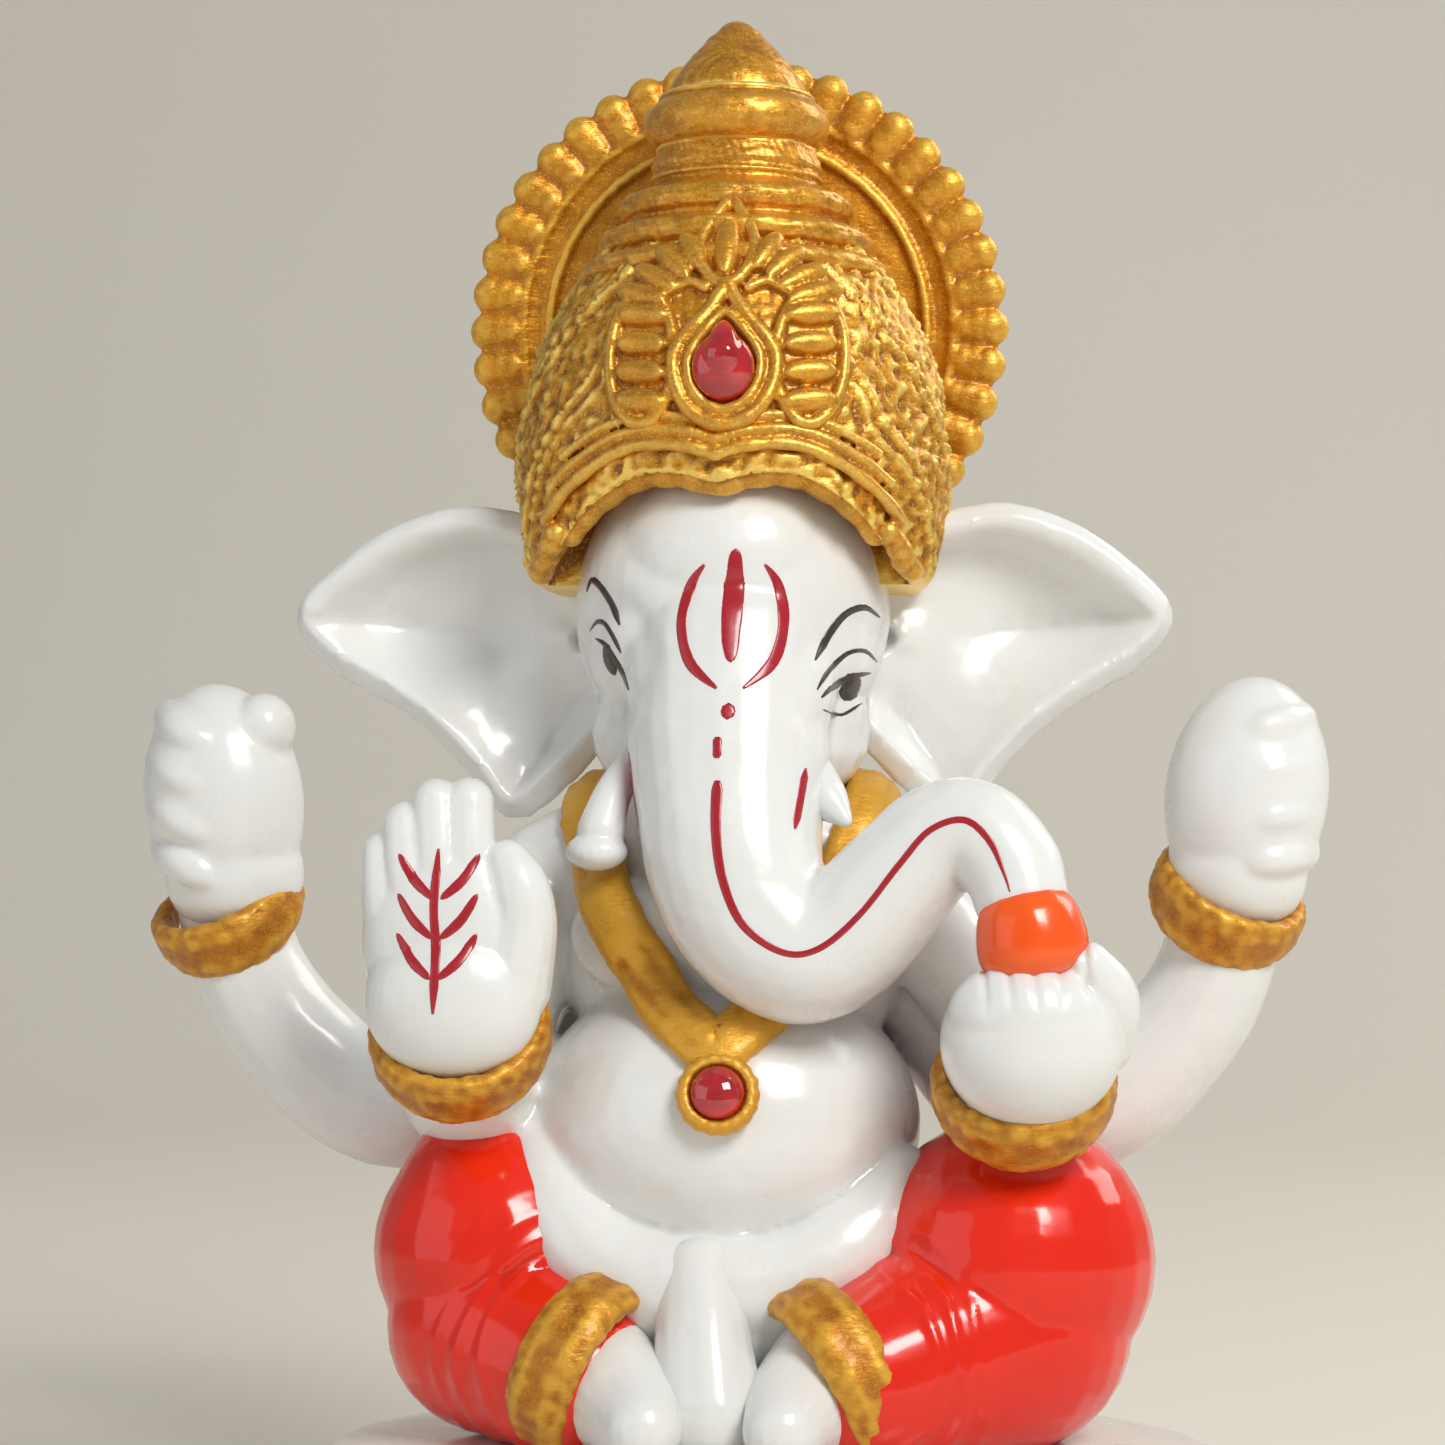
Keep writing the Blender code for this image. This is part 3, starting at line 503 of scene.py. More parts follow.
finishes = {
    "white": whiteResin("whiteResin"),
    "gold": goldPaint("goldPaint"),
    "roughGold": goldPaint("roughGold", base=(0.54, 0.20, 0.006), deep=(0.25, 0.07, 0.004),
                           bright=(0.78, 0.42, 0.04), brushed=2.2, gloss=0.46, metal=0.45),
    "capGold": goldPaint("capGold", base=(0.72, 0.32, 0.012), deep=(0.26, 0.08, 0.004), brushed=1.5,
                         gloss=0.36),
    "haloGold": goldPaint("haloGold", base=(0.70, 0.29, 0.008), deep=(0.38, 0.13, 0.005),
                          bright=(0.98, 0.62, 0.10), brushed=1.5, gloss=0.40),
    "red": enamel("redEnamel", (0.80, 0.020, 0.004), (0.38, 0.004, 0.003), bumpy=0.35),
    "orange": enamel("orangeEnamel", (0.92, 0.095, 0.006), (0.60, 0.03, 0.002), gloss=0.12, bumpy=1.0),
    "ruby": jewel("rubyEnamel", (0.58, 0.008, 0.016), (0.32, 0.002, 0.006)),
    "redLine": strokePaint("redLinePaint", (0.60, 0.022, 0.040), (0.38, 0.010, 0.020)),
    "blackLine": strokePaint("blackLinePaint", (0.012, 0.010, 0.010), (0.045, 0.030, 0.025), 0.4),
    "seatWhite": whiteResin("seatResin", tint=(0.78, 0.765, 0.73)),
    "seatGold": goldPaint("seatGold", brushed=1.1),
}
print("paints ready:", len(finishes))


def deliver(piece, finish, slot, *nodes):
    if "hollow" not in piece.data.attributes:
        markHollows(piece)
    piece.data.materials.clear()
    piece.data.materials.append(finishes[finish])
    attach(piece, "root")
    if nodes:
        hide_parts(*nodes)
    return piece


bodySet = {"voxel": 0.36, "relax": 9}


def makeBody():
    bm = bmesh.new()
    for x, y, z, rx, ry, rz in near("torso", [
        (-0.28, -1.78, -7.37, 15.6, 14.0, 12.0), (0.02, 5.22, -14.87, 14.0, 10.5, 9.0),
        (0.02, 1.72, 6.13, 14.0, 10.0, 12.0), (0.02, 3.22, 18.13, 8.0, 7.5, 6.0),
        (-6.48, -5.78, 7.63, 5.5, 3.4, 4.6), (6.52, -5.78, 7.63, 5.5, 3.4, 4.6)
    ]):
        ball(bm, (x, y, z), (rx, ry, rz), segments=48, rings=28)
    limb(bm, near("torso", [
        (-13.98, 3.22, 10.13, 6.6), (0.02, 2.72, 13.63, 8.0), (14.02, 3.22, 10.13, 6.6)
    ]))
    # soft roll that frames the belly above the dhoti, and what lies between it and the hems
    limb(bm, near("torso", [
        (-14.38, -5.28, -6.87, 2.4), (-13.38, -8.28, -11.37, 3.4), (-11.18, -10.38, -15.27, 3.9),
        (-6.98, -11.78, -18.27, 4.1), (-0.98, -12.38, -19.47, 4.2), (5.52, -11.78, -18.87, 4.1),
        (10.52, -10.18, -15.87, 3.8), (13.82, -7.28, -11.37, 3.0)
    ]))
    ball(bm, near("torso", [(0.02, -7.28, -22.37)])[0], (12.0, 8.0, 6.5), segments=32, rings=20)
    # front arms, idol's right then left
    limb(bm, near("torso", [
        (-15.98, 1.22, 9.13, 5.8), (-18.98, -0.28, 1.13, 5.4), (-20.48, -2.78, -4.37, 5.4),
        (-19.58, -7.78, -4.27, 5.1), (-19.58, -11.38, -1.27, 4.9), (-19.58, -12.98, 1.34, 4.6)
    ]))
    limb(bm, near("torso", [
        (16.02, 1.22, 9.13, 5.8), (22.52, -0.28, 1.13, 5.4), (24.02, -2.78, -4.37, 5.4),
        (24.42, -7.78, -4.27, 5.1), (24.42, -12.38, -3.87, 5.0), (24.42, -15.18, -1.47, 4.8)
    ]))
    # rear arms
    limb(bm, near("torso", [
        (-13.98, 6.22, 9.13, 6.2), (-19.48, 6.72, 0.13, 6.4), (-24.98, 7.02, -5.87, 6.0),
        (-30.98, 7.22, -6.27, 5.2), (-36.98, 7.22, -1.27, 4.9), (-40.58, 6.82, 4.63, 4.7),
        (-41.78, 6.22, 10.63, 4.6), (-42.18, 6.02, 13.13, 4.6)
    ]))
    limb(bm, near("torso", [
        (13.22, 6.22, 9.13, 6.2), (18.42, 6.72, 0.13, 6.4), (23.62, 7.02, -5.87, 6.0),
        (29.32, 7.22, -6.27, 5.2), (35.02, 7.22, -1.27, 4.9), (38.42, 6.82, 4.63, 4.7),
        (39.52, 6.22, 10.63, 4.6), (40.22, 6.02, 13.63, 4.6)
    ]))
    body = cast("bodyCasting", bm, bodySet["voxel"], bodySet["relax"])
    sculpt(body, lambda p: 0.16 * lumps(p, 7.0) + 0.05 * lumps(p, 1.8, 5.0))
    return deliver(body, "white", "white_resin", "torso", "front_arm_right", "front_arm_left",
                   "rear_arm_right", "rear_arm_left")


headSet = {"voxel": 0.34, "relax": 4}


def makeHead():
    bm = bmesh.new()
    for x, y, z, rx, ry, rz in near("crown_cap", [
        (0.0, 1.23, -16.2, 12.6, 12.4, 13.6), (0.0, -1.97, -12.7, 9.6, 9.4, 8.6)
    ]):
        ball(bm, (x, y, z), (rx, ry, rz), segments=48, rings=28)
    limb(bm, near("head", [(-12.3, 3.24, -0.23, 6.2), (-7.3, 2.64, -1.73, 7.4), (-2.3, 3.24, -0.23, 6.2)]))
    limb(bm, near("head", [
        (-6.9, -0.76, 5.27, 8.6), (-6.7, -3.76, -0.73, 8.0), (-6.4, -5.96, -5.73, 7.4),
        (-5.9, -7.96, -10.23, 6.9), (-4.4, -9.16, -14.13, 6.3), (-0.9, -9.66, -17.03, 5.8),
        (3.1, -10.07, -15.84, 5.2), (6.8, -10.66, -11.94, 4.7), (9.9, -11.16, -8.63, 4.3),
        (13.0, -11.87, -8.03, 4.0), (15.5, -12.96, -10.44, 3.8), (16.4, -13.77, -12.84, 3.6)
    ]), gap=0.6,
         segments=24)
    head = cast("headCasting", bm, headSet["voxel"], headSet["relax"])
    eyes = near("crown_cap", [(-8.7, -6.57, -20.4), (9.9, -5.57, -21.8)])

    def features(points):
        lift = 0.12 * lumps(points, 6.0) + 0.04 * lumps(points, 1.6, 3.0)
        for ex, ey, ez in eyes:
            gone = np.hypot(points[:, 0] - ex, (points[:, 2] - ez) * 0.8)
            front = points[:, 1] < ey + 5.0
            lift += front * (0.35 * hill(gone, 1.7) - 0.30 * hill(gone - 3.4, 1.1))
        return lift

    sculpt(head, features)
    return deliver(head, "white", "white_resin", "head")


earSet = {"columns": 150, "rows": 40, "thickness": 2.3, "bowl": 4.2, "roll": 0.9, "reach": 26.0,
          "front": 2.2, "rim": 1.25, "voxel": 0.36}


def makeEar(name, node, side, reach):
    # a fan from its root to its outline, hollowed in the middle, with a rolled rim
    line = smoothLine(near("crown_cap", [
        (10.5, 1.43, -11.6), (16.0, 1.43, -9.6), (22.5, 1.43, -8.4), (28.5, 1.43, -10.0),
        (33.0, 1.43, -13.0), (36.2, 1.43, -16.4), (33.6, 1.43, -19.9), (29.0, 1.43, -22.6),
        (25.0, 1.43, -25.4), (21.6, 1.43, -28.8), (18.6, 1.43, -32.3), (15.0, 1.43, -30.2),
        (10.5, 1.43, -25.7)
    ]), gap=0.3)
    rootX, rootY, rootZ = near("crown_cap", [(10.0, 1.43, -18.7)])[0]
    bm = bmesh.new()
    grid = bmesh.ops.create_grid(bm, x_segments=earSet["columns"], y_segments=earSet["rows"], size=1.0)
    for vert in grid["verts"]:
        x, _, z = line[round((vert.co.x + 1) / 2 * (len(line) - 1))]
        t = 0.12 + 0.88 * (vert.co.y + 1) / 2
        far = math.hypot(x - rootX, z - rootZ) / earSet["reach"]
        upper = max(0.0, min(1.0, (z - rootZ + 3) / 9.0))
        depth = earSet["front"] + 3.4 * t * far + earSet["bowl"] * math.sin(math.pi * t) * far - 1.2 * t ** 6
        depth -= earSet["roll"] * upper * math.exp(-((t - 0.93) / 0.07) ** 2)
        depth += 0.5 * math.sin(t * 9.0 + x * 0.25) * far * (1 - t)
        vert.co = (side * reach * (rootX + (x - rootX) * t) * mm, (rootY + depth) * mm,
                   (rootZ + (z - rootZ) * t) * mm)
    bmesh.ops.recalc_face_normals(bm, faces=bm.faces)
    piece = toPiece(name + "Sheet", bm, tidy=False)
    wall = piece.modifiers.new("wall", "SOLIDIFY")
    wall.thickness = earSet["thickness"] * mm
    wall.offset = 0.0
    settled(piece)
    bm = bmesh.new()
    bm.from_mesh(piece.data)
    bpy.data.objects.remove(piece, do_unlink=True)
    # the thick rolled edge along the top
    rim = []
    for x, _, z in line[::6]:
        if z > rootZ + 2.0:
            far = math.hypot(x - rootX, z - rootZ) / earSet["reach"]
            rim.append((side * reach * (rootX + (x - rootX) * 0.96),
                        rootY + earSet["front"] + 3.0 * far - 0.9,
                        rootZ + (z - rootZ) * 0.965, earSet["rim"]))
    limb(bm, rim, segments=12)
    ear = cast(name, bm, earSet["voxel"], 4)
    sculpt(ear, lambda p: 0.12 * lumps(p, 5.0) + 0.05 * lumps(p, 1.5, 2.0))
    return deliver(ear, "white", "white_resin", node)


def makeTusk(name, node, points, stump=()):
    bm = bmesh.new()
    limb(bm, points, gap=0.3)
    for x, y, z, rx, ry, rz in stump:
        ball(bm, (x, y, z), (rx, ry, rz))
    return deliver(cast(name, bm, 0.2, 3), "white", "white_resin", node)


handSet = {"voxel": 0.22, "relax": 2}
# each finger roll of a closed hand: how far out, back and down its points lie, and how much thinner it gets
fingerRoll = [(4.9, 0.2, 0.9, 0.0), (3.5, -2.8, 0.2, 0.0), (1.4, -4.1, -0.8, -0.2), (-0.8, -3.2, -1.7, -0.5)]


def makePalm():
    bm = bmesh.new()
    for x, y, z, rx, ry, rz in near("front_hand_right", [
        (-0.27, -0.24, -1.73, 7.3, 3.9, 8.2), (-0.36, -1.04, -6.13, 6.9, 4.5, 6.2)
    ]):
        ball(bm, (x, y, z), (rx, ry, rz), segments=40, rings=24)
    tips = near("front_hand_right", [
        (-5.96, 0.16, 4.97, 1.75), (-4.16, -0.04, 7.07, 1.95), (-1.77, -0.14, 8.77, 2.05),
        (0.73, -0.04, 8.87, 2.0)
    ])
    knuckles = near("front_hand_right", [
        (-5.56, -0.44, -0.13, 1.9), (-3.41, -1.04, 0.27, 2.1), (-1.16, -1.04, 0.27, 2.2),
        (1.09, -0.64, 0.27, 2.2)
    ])
    for knuckle, tip in zip(knuckles, tips):
        bend = [(a + b) / 2 for a, b in zip(knuckle, tip)]
        limb(bm, [knuckle, (bend[0], bend[1] - 0.4, *bend[2:]), tip], gap=0.4)
    limb(bm, near("front_hand_right", [
        (3.94, -0.44, -4.93, 3.3), (5.14, -1.24, -0.33, 2.6), (4.84, -1.44, 2.47, 2.3),
        (3.94, -1.24, 4.47, 1.7)
    ]), gap=0.4)
    palm = cast("palmHand", bm, handSet["voxel"], handSet["relax"])
    return deliver(palm, "white", "white_resin", "front_hand_right")


def makeBowlHand():
    # smooth cupped hand; only the finger ends show, as short grooves under the sweet
    bm = bmesh.new()
    ball(bm, near("front_hand_left", [(0.09, -0.2, -1.12)])[0], (6.9, 5.9, 6.5), segments=48, rings=28)
    ball(bm, near("front_hand_left", [(-0.21, -1.4, 0.88)])[0], (6.0, 4.6, 4.4), segments=40, rings=24)
    limb(bm, near("front_hand_left", [
        (5.19, 1.4, -1.12, 2.6), (5.98, -0.2, 2.27, 2.2), (4.39, -1.6, 4.88, 1.7)
    ]), gap=0.4)
    hand = cast("cuppedHand", bm, handSet["voxel"], 6)
    gx, frontY, gz = near("front_hand_left", [(-3.52, 2.2, 5.27)])[0]
    grooves = [(gx + 1.9 * k, gz + 0.2 * k) for k in range(5)]

    def fingers(points):
        lift = np.zeros(len(points))
        for x, z in grooves:
            down = z - points[:, 2]
            lean = points[:, 0] - x - 0.12 * down
            lift -= 0.42 * hill(lean, 0.32) * np.clip(1 - down / 4.6, 0.0, 1.0) * (points[:, 1] < frontY)
        return lift

    sculpt(hand, fingers)
    return deliver(hand, "white", "white_resin", "front_hand_left")


def makeRearHand(name, node, side, slope, rolls, knuckle):
    # a closed hand: four shallow finger rolls along the outer edge of a smooth rounded form
    cx, cy, cz = middle(node)
    bm = bmesh.new()
    ball(bm, (cx, cy + 0.6, cz + 0.2), (6.5, 6.0, 9.4), turn=(0.0, side * 0.14, 0.0), segments=48, rings=28)
    ball(bm, (cx - side * 0.8, cy + 1.0, cz - 6.0), (5.7, 5.5, 5.4), segments=40, rings=24)
    if knuckle:
        ball(bm, (cx - side * 3.6, cy - 0.6, cz + 6.0), (2.6, 2.9, 2.8), segments=24, rings=14)
    for k in range(4):
        z = cz + 5.7 - 3.5 * k
        reach = math.sqrt(1 - ((z - cz) / 10.5) ** 2)
        limb(bm, [(cx + side * x * reach, cy + y * reach, z + drop * slope, rolls + less)
                  for x, y, drop, less in fingerRoll], gap=0.5)
    hand = cast(name, bm, 0.28, 9)
    return deliver(hand, "white", "white_resin", node)


def makeFoot(name, node, points, turnOut):
    bm = bmesh.new()
    limb(bm, points)
    x, y, z, _ = points[-1]
    for k in range(4):
        ball(bm, (x + turnOut * (k - 1.5) * 1.25, y - 1.0 + 0.35 * abs(k - 1.2), z - 0.4), (0.85, 1.3, 0.9),
             segments=12, rings=8)
    return deliver(cast(name, bm, 0.28, 3), "white", "white_resin", node)


def makePleat():
    bm = bmesh.new()
    limb(bm, near("front_pleat", [
        (-1.41, 3.12, 5.28, 3.1), (-0.81, 0.72, 0.68, 3.8), (-0.21, -1.28, -4.52, 4.4)
    ]))
    pleat = cast("frontPleat", bm, 0.28, 4)
    cx, cy, cz = middle("front_pleat")

    def folds(points):
        across = points[:, 0] - cx - 0.12 * (cz - points[:, 2])
        front = points[:, 1] < cy + 4.92
        return front * (0.16 * hill(across - 0.5, 1.4) - 0.12 * hill(across - 2.6, 0.8))

    sculpt(pleat, folds)
    return deliver(pleat, "white", "white_resin", "front_pleat")


legSet = {"voxel": 0.34, "relax": 8, "folds": 0.22, "pitch": 1.8}


def drapery(points, hub, seed):
    # soft creases that follow the hem and fade away from it
    away = np.hypot(points[:, 0] - hub.x, points[:, 2] - hub.z) + 0.9 * lumps(points, 7.0, seed)
    crease = np.abs((away / legSet["pitch"]) % 1.0 - 0.5) * legSet["pitch"]
    reach = np.clip((away - 7.0) / 1.5, 0.0, 1.0) * hill(np.maximum(away - 8.5, 0.0), 3.6)
    return legSet["folds"] * hill(crease, 0.42) * reach + 0.10 * lumps(points, 6.0, seed)


def makeLeg(name, node, hem, limbs, seed):
    hub = middle(hem)
    bm = bmesh.new()
    for points in limbs:
        limb(bm, points, segments=24)
    leg = cast(name, bm, legSet["voxel"], legSet["relax"])
    sculpt(leg, lambda p: drapery(p, hub, seed))
    return deliver(leg, "red", "red_enamel", node)


def makeSeatCloth():
    bm = bmesh.new()
    centre = near("dhoti_seat", [(0.06, 0.0, 0.16)])[0]
    ball(bm, centre, (21.0, 11.8, 10.5), segments=48, rings=28)
    cloth = cast("seatCloth", bm, 0.4, 2)

    def gathers(points):
        around = np.arctan2(points[:, 1] - centre[1], points[:, 0] - centre[0])
        pleats = np.abs(np.sin(around * 7 + 0.5 * lumps(points, 7.0))) ** 0.7
        return -0.45 * (1 - pleats) + 0.1 * lumps(points, 3.0)

    sculpt(cloth, gathers)
    return deliver(cloth, "red", "red_enamel", "dhoti_seat")


def makeBand(name, node, shape):
    # a rounded strip with raised edges, spun round its own axis and turned into place
    bm = bmesh.new()
    section = bmesh.ops.create_circle(bm, segments=36, radius=1.0)["verts"]
    edges = bm.edges[:]
    for vert in section:
        turn = math.atan2(vert.co.y, vert.co.x)
        wide = math.copysign(abs(math.sin(turn)) ** 0.75, math.sin(turn)) * 0.5 * shape["band"]
        ridge = sum(shape["ridge"] * math.exp(-((wide - place) / 0.5) ** 2) for place in shape["ridges"])
        thick = math.copysign(abs(math.cos(turn)) ** 0.75, math.cos(turn)) * 0.5 * shape["thick"]
        vert.co = ((shape["radius"] + thick + (ridge if thick > 0 else 0.0)), 0.0, wide)
    bmesh.ops.spin(bm, geom=section + edges, cent=(0, 0, 0), axis=(0, 0, 1), angle=2 * math.pi, steps=150,
                   use_merge=True)
    axis = Vector(shape["axis"]).normalized()
    tilt = axis.to_track_quat("Z", "X")
    toFront = tilt.inverted() @ Vector((0, -1, 0))
    facing = math.atan2(toFront.y, toFront.x)
    for vert in bm.verts:
        off = math.atan2(vert.co.y, vert.co.x) - facing
        full = 0.5 + 0.5 * math.cos(off)
        narrow = shape["horns"] + (1 - shape["horns"]) * full
        out = Vector((vert.co.x, vert.co.y, 0))
        reach = out.length
        out *= (shape["radius"] + (reach - shape["radius"]) * (0.6 + 0.4 * full)) / reach
        vert.co = Vector((out.x, out.y, vert.co.z * narrow))
    place = Matrix.Translation(Vector(shape["centre"]) * mm)
    bm.transform(place @ tilt.to_matrix().to_4x4() @ Matrix.Scale(mm, 4))
    bmesh.ops.recalc_face_normals(bm, faces=bm.faces)
    piece = toPiece(name, bm)
    sculpt(piece, lambda p: 0.15 * lumps(p, 1.1) + 0.09 * lumps(p, 0.5, 4.0))
    return deliver(piece, "roughGold", "gold_paint", node)


cuffShape = {"band": 5.2, "thick": 1.9, "ridge": 0.08, "ridges": (-1.2, 1.4), "horns": 0.25}
cuffs = {
    "frontCuffRight": ("front_cuff_right", 6.3, (0.0, -0.80, 0.60)),
    "frontCuffLeft": ("front_cuff_left", 6.3, (0.0, -0.72, 0.69)),
    "rearCuffRight": ("rear_cuff_right", 5.6, (-0.28, -0.55, 0.78)),
    "rearCuffLeft": ("rear_cuff_left", 5.6, (0.36, -0.55, 0.75)),
}
hemShape = {"band": 5.4, "thick": 2.5, "ridge": 0.14, "ridges": (-1.2, 1.2), "horns": 0.8}


def blended(loop):
    # each vector of a closed loop, twice, plus its two neighbours
    return [a + b * 2 + c for a, b, c in zip(loop[-1:] + loop[:-1], loop, loop[1:] + loop[:1])]


def makeNecklace(body):
    tree = surfaceOf(body)
    half = near("torso", [
        (5.42, -10.78, 4.63), (9.42, -6.78, 11.63), (11.62, -1.78, 18.13), (11.02, 5.22, 20.13),
        (6.52, 11.22, 16.13)
    ])
    bottom, top = near("torso", [(0.42, -13.78, -1.37), (0.02, 12.22, 14.63)])
    loop = [bottom] + half + [top] + [(-x, y, z) for x, y, z in reversed(half)]
    line = smoothLine(loop + loop[:1], 0.5)[:-1]
    spots, ways = snapTo(tree, line, 0.45)
    for _ in range(14):      # eases the strap over the chest
        spots = [spot / 4 for spot in blended(spots)]
        ways = [way.normalized() for way in blended(ways)]

    def section(turn):
        wide = math.cos(turn) * 2.3
        high = math.sin(turn) * 1.15
        if turn < math.pi:
            high += 0.07 * math.sin(turn) * math.cos(wide * 3.4)
        return wide, high

    bm = bmesh.new()
    sweep(bm, spots, ways, section, 22)
    strap = toPiece("necklaceStrap", bm)
    sculpt(strap, lambda p: 0.15 * lumps(p, 1.0) + 0.10 * lumps(p, 0.5, 4.0))
    return deliver(strap, "roughGold", "gold_paint", "necklace")


def makePendant(body):
    x, y, z = middle("pendant_setting")
    spot, normal, _, _ = surfaceOf(body).find_nearest(Vector((x, y - 2.0, z)))
    upright = normal.to_track_quat("Z", "Y").to_matrix().to_4x4()
    face = Matrix.Translation((spot + normal * 0.6) * mm) @ upright
    bm = bmesh.new()
    turned(bm, [(0, -1.0), (2.6, -0.9), (3.1, -0.2), (3.2, 0.5), (2.9, 1.1), (2.45, 1.25), (2.15, 0.95),
                (2.0, 0.7), (0, 0.7)], 72)
    for vert in bm.verts:
        if math.hypot(vert.co.x, vert.co.y) > 2.3 and vert.co.z > -0.5:
            beads = math.cos(math.atan2(vert.co.y, vert.co.x) * 18)
            vert.co *= 1 + 0.02 * beads + 0.03 * noise.noise(vert.co * 1.2)
    bm.transform(face @ Matrix.Scale(mm, 4))
    setting = deliver(toPiece("pendantSetting", bm), "roughGold", "gold_paint", "pendant_setting")
    bm = bmesh.new()
    turned(bm, [(0, 0.3), (1.9, 0.4), (2.1, 0.9), (2.0, 1.3), (1.6, 1.75), (1.0, 2.05), (0.4, 2.2),
                (0, 2.22)], 64)
    bm.transform(face @ Matrix.Scale(mm, 4))
    stone = deliver(toPiece("pendantStone", bm), "ruby", "ruby_enamel", "pendant_stone")
    return setting, stone


crownSet = {"lean": -5.5, "depth": 0.80, "tierDepth": 0.86, "topDepth": 0.95, "haloGap": 0.2,
            "opening": 14.8, "openingDepth": 26.6}
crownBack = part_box("halo")[0].y / mm - crownSet["haloGap"]


def crownPlace(depth):
    origin = Vector(near("crown_cap", [(0.0, 1.43, -8.2)])[0])
    return (Matrix.Translation(origin * mm) @ Matrix.Rotation(math.radians(crownSet["lean"]), 4, "X")
            @ Matrix.Diagonal((mm, depth * mm, mm, 1.0)))


def makeCap():
    profile = [(0, -6.2), (8.0, -6.2), (15.0, -6.4), (15.9, -5.6), (16.5, -3.5), (17.0, 0.0), (17.2, 3.0),
               (16.9, 7.0), (16.2, 10.5), (15.2, 13.4), (12.9, 17.6), (10.4, 20.8), (8.4, 23.2), (0, 23.4)]
    dense = profile[:3] + smoothLine(profile[2:-1], 0.32)[1:] + profile[-1:]
    bm = bmesh.new()
    turned(bm, dense, 300)
    piece = toPiece("crownCap", bm)
    place = crownPlace(crownSet["depth"])
    smooth = BVHTree.FromPolygons([place @ vert.co / mm for vert in piece.data.vertices],
                                  [face.vertices[:] for face in piece.data.polygons])

    def relief(points):
        around = np.arctan2(points[:, 0], -points[:, 1])
        s = around * 16.0
        h = points[:, 2]
        flat = np.stack([s, h, np.zeros(len(s))], axis=1)
        warp = 0.9 * lumps(flat, 5.0, 3.0)
        # slanting double cords on the sides, lumpy leaves between them, rough casting all over
        slant = np.abs(s) * 0.62 + h * 0.55 + warp
        cord = np.abs((slant / 5.6 + 0.5) % 1.0 - 0.5) * 5.6
        side = np.clip((np.abs(s) - 5.0) / 3.0, 0.15, 1.0)
        leaf = cells(flat + 0.5 * warp[:, None], 1.5)
        wormy = 1 - np.abs(lumps(flat, 1.15, 9.0)) * 2.6
        lift = side * (0.42 * hill(cord - 0.45, 0.28) + 0.42 * hill(cord + 0.45, 0.28)) + 0.26 * leaf
        lift += 0.34 * np.clip(wormy, 0.0, 1.0) + 0.12 * lumps(flat, 0.45, 9.0)
        edge = np.clip((23.0 - h) / 1.5, 0.0, 1.0) * np.clip((h + 6.2) / 1.2, 0.0, 1.0)
        return (lift - 0.30) * edge

    mesh = piece.data
    mesh.transform(Matrix.Scale(mm, 4))
    sculpt(piece, relief)
    mesh.transform(place @ Matrix.Scale(1 / mm, 4))
    bm = bmesh.new()
    bm.from_mesh(mesh)
    trimBehind(bm, crownBack)
    bmesh.ops.recalc_face_normals(bm, faces=bm.faces)
    bm.to_mesh(mesh)
    bm.free()
    # the opening for the face, below the brim
    bm = bmesh.new()
    _, frontY, footZ = near("crown_cap", [(0.0, -28.57, -36.2)])[0]
    half = crownSet["opening"]
    outline = [(-half, footZ)] + [(x, z - 0.4) for x, z in brimLine(1.0)] + [(half, footZ)]
    front = [bm.verts.new((x * mm, frontY * mm, z * mm)) for x, z in outline]
    face = bm.faces.new(front)
    grown = bmesh.ops.extrude_face_region(bm, geom=[face, *face.edges, *front], use_keep_orig=True)["geom"]
    shift(bm, grown, (0, crownSet["openingDepth"] * mm, 0))
    window = toPiece("faceOpening", bm)
    opening = piece.modifiers.new("opening", "BOOLEAN")
    opening.operation = "DIFFERENCE"
    opening.solver = "EXACT"
    opening.object = window
    settled(piece)
    bpy.data.objects.remove(window, do_unlink=True)
    return deliver(piece, "capGold", "gold_paint", "crown_cap"), smooth


def brimLine(gap, out=0.0):
    # the lower edge of the crown from the front, moved outwards by out
    half = onto("crown_cap", [
        (0.0, -6.3), (2.8, -5.6), (6.4, -5.7), (10.3, -8.0), (12.6, -10.8), (14.3, -13.4)
    ])
    whole = [(-x, z) for x, z in reversed(half[1:])] + half
    line = smoothLine(whole, gap)
    moved = []
    for a, b, c in zip(line[:1] + line[:-1], line, line[1:] + line[-1:]):
        along = (Vector(c) - Vector(a)).normalized()
        moved.append((b[0] - along.y * out, b[1] + along.x * out))
    return moved


# cords of the brim from the edge up: how far out, radius, lift, and the half width where each one ends
brimCords = [(0.3, 1.0, 0.1, 99.0), (1.7, 0.55, 0.45, 13.6), (2.8, 0.50, 0.45, 13.0),
             (3.9, 0.45, 0.40, 12.2)]
headOval = {"front": -2.0, "halfX": 15.4, "halfY": 14.0, "halfZ": 15.0}


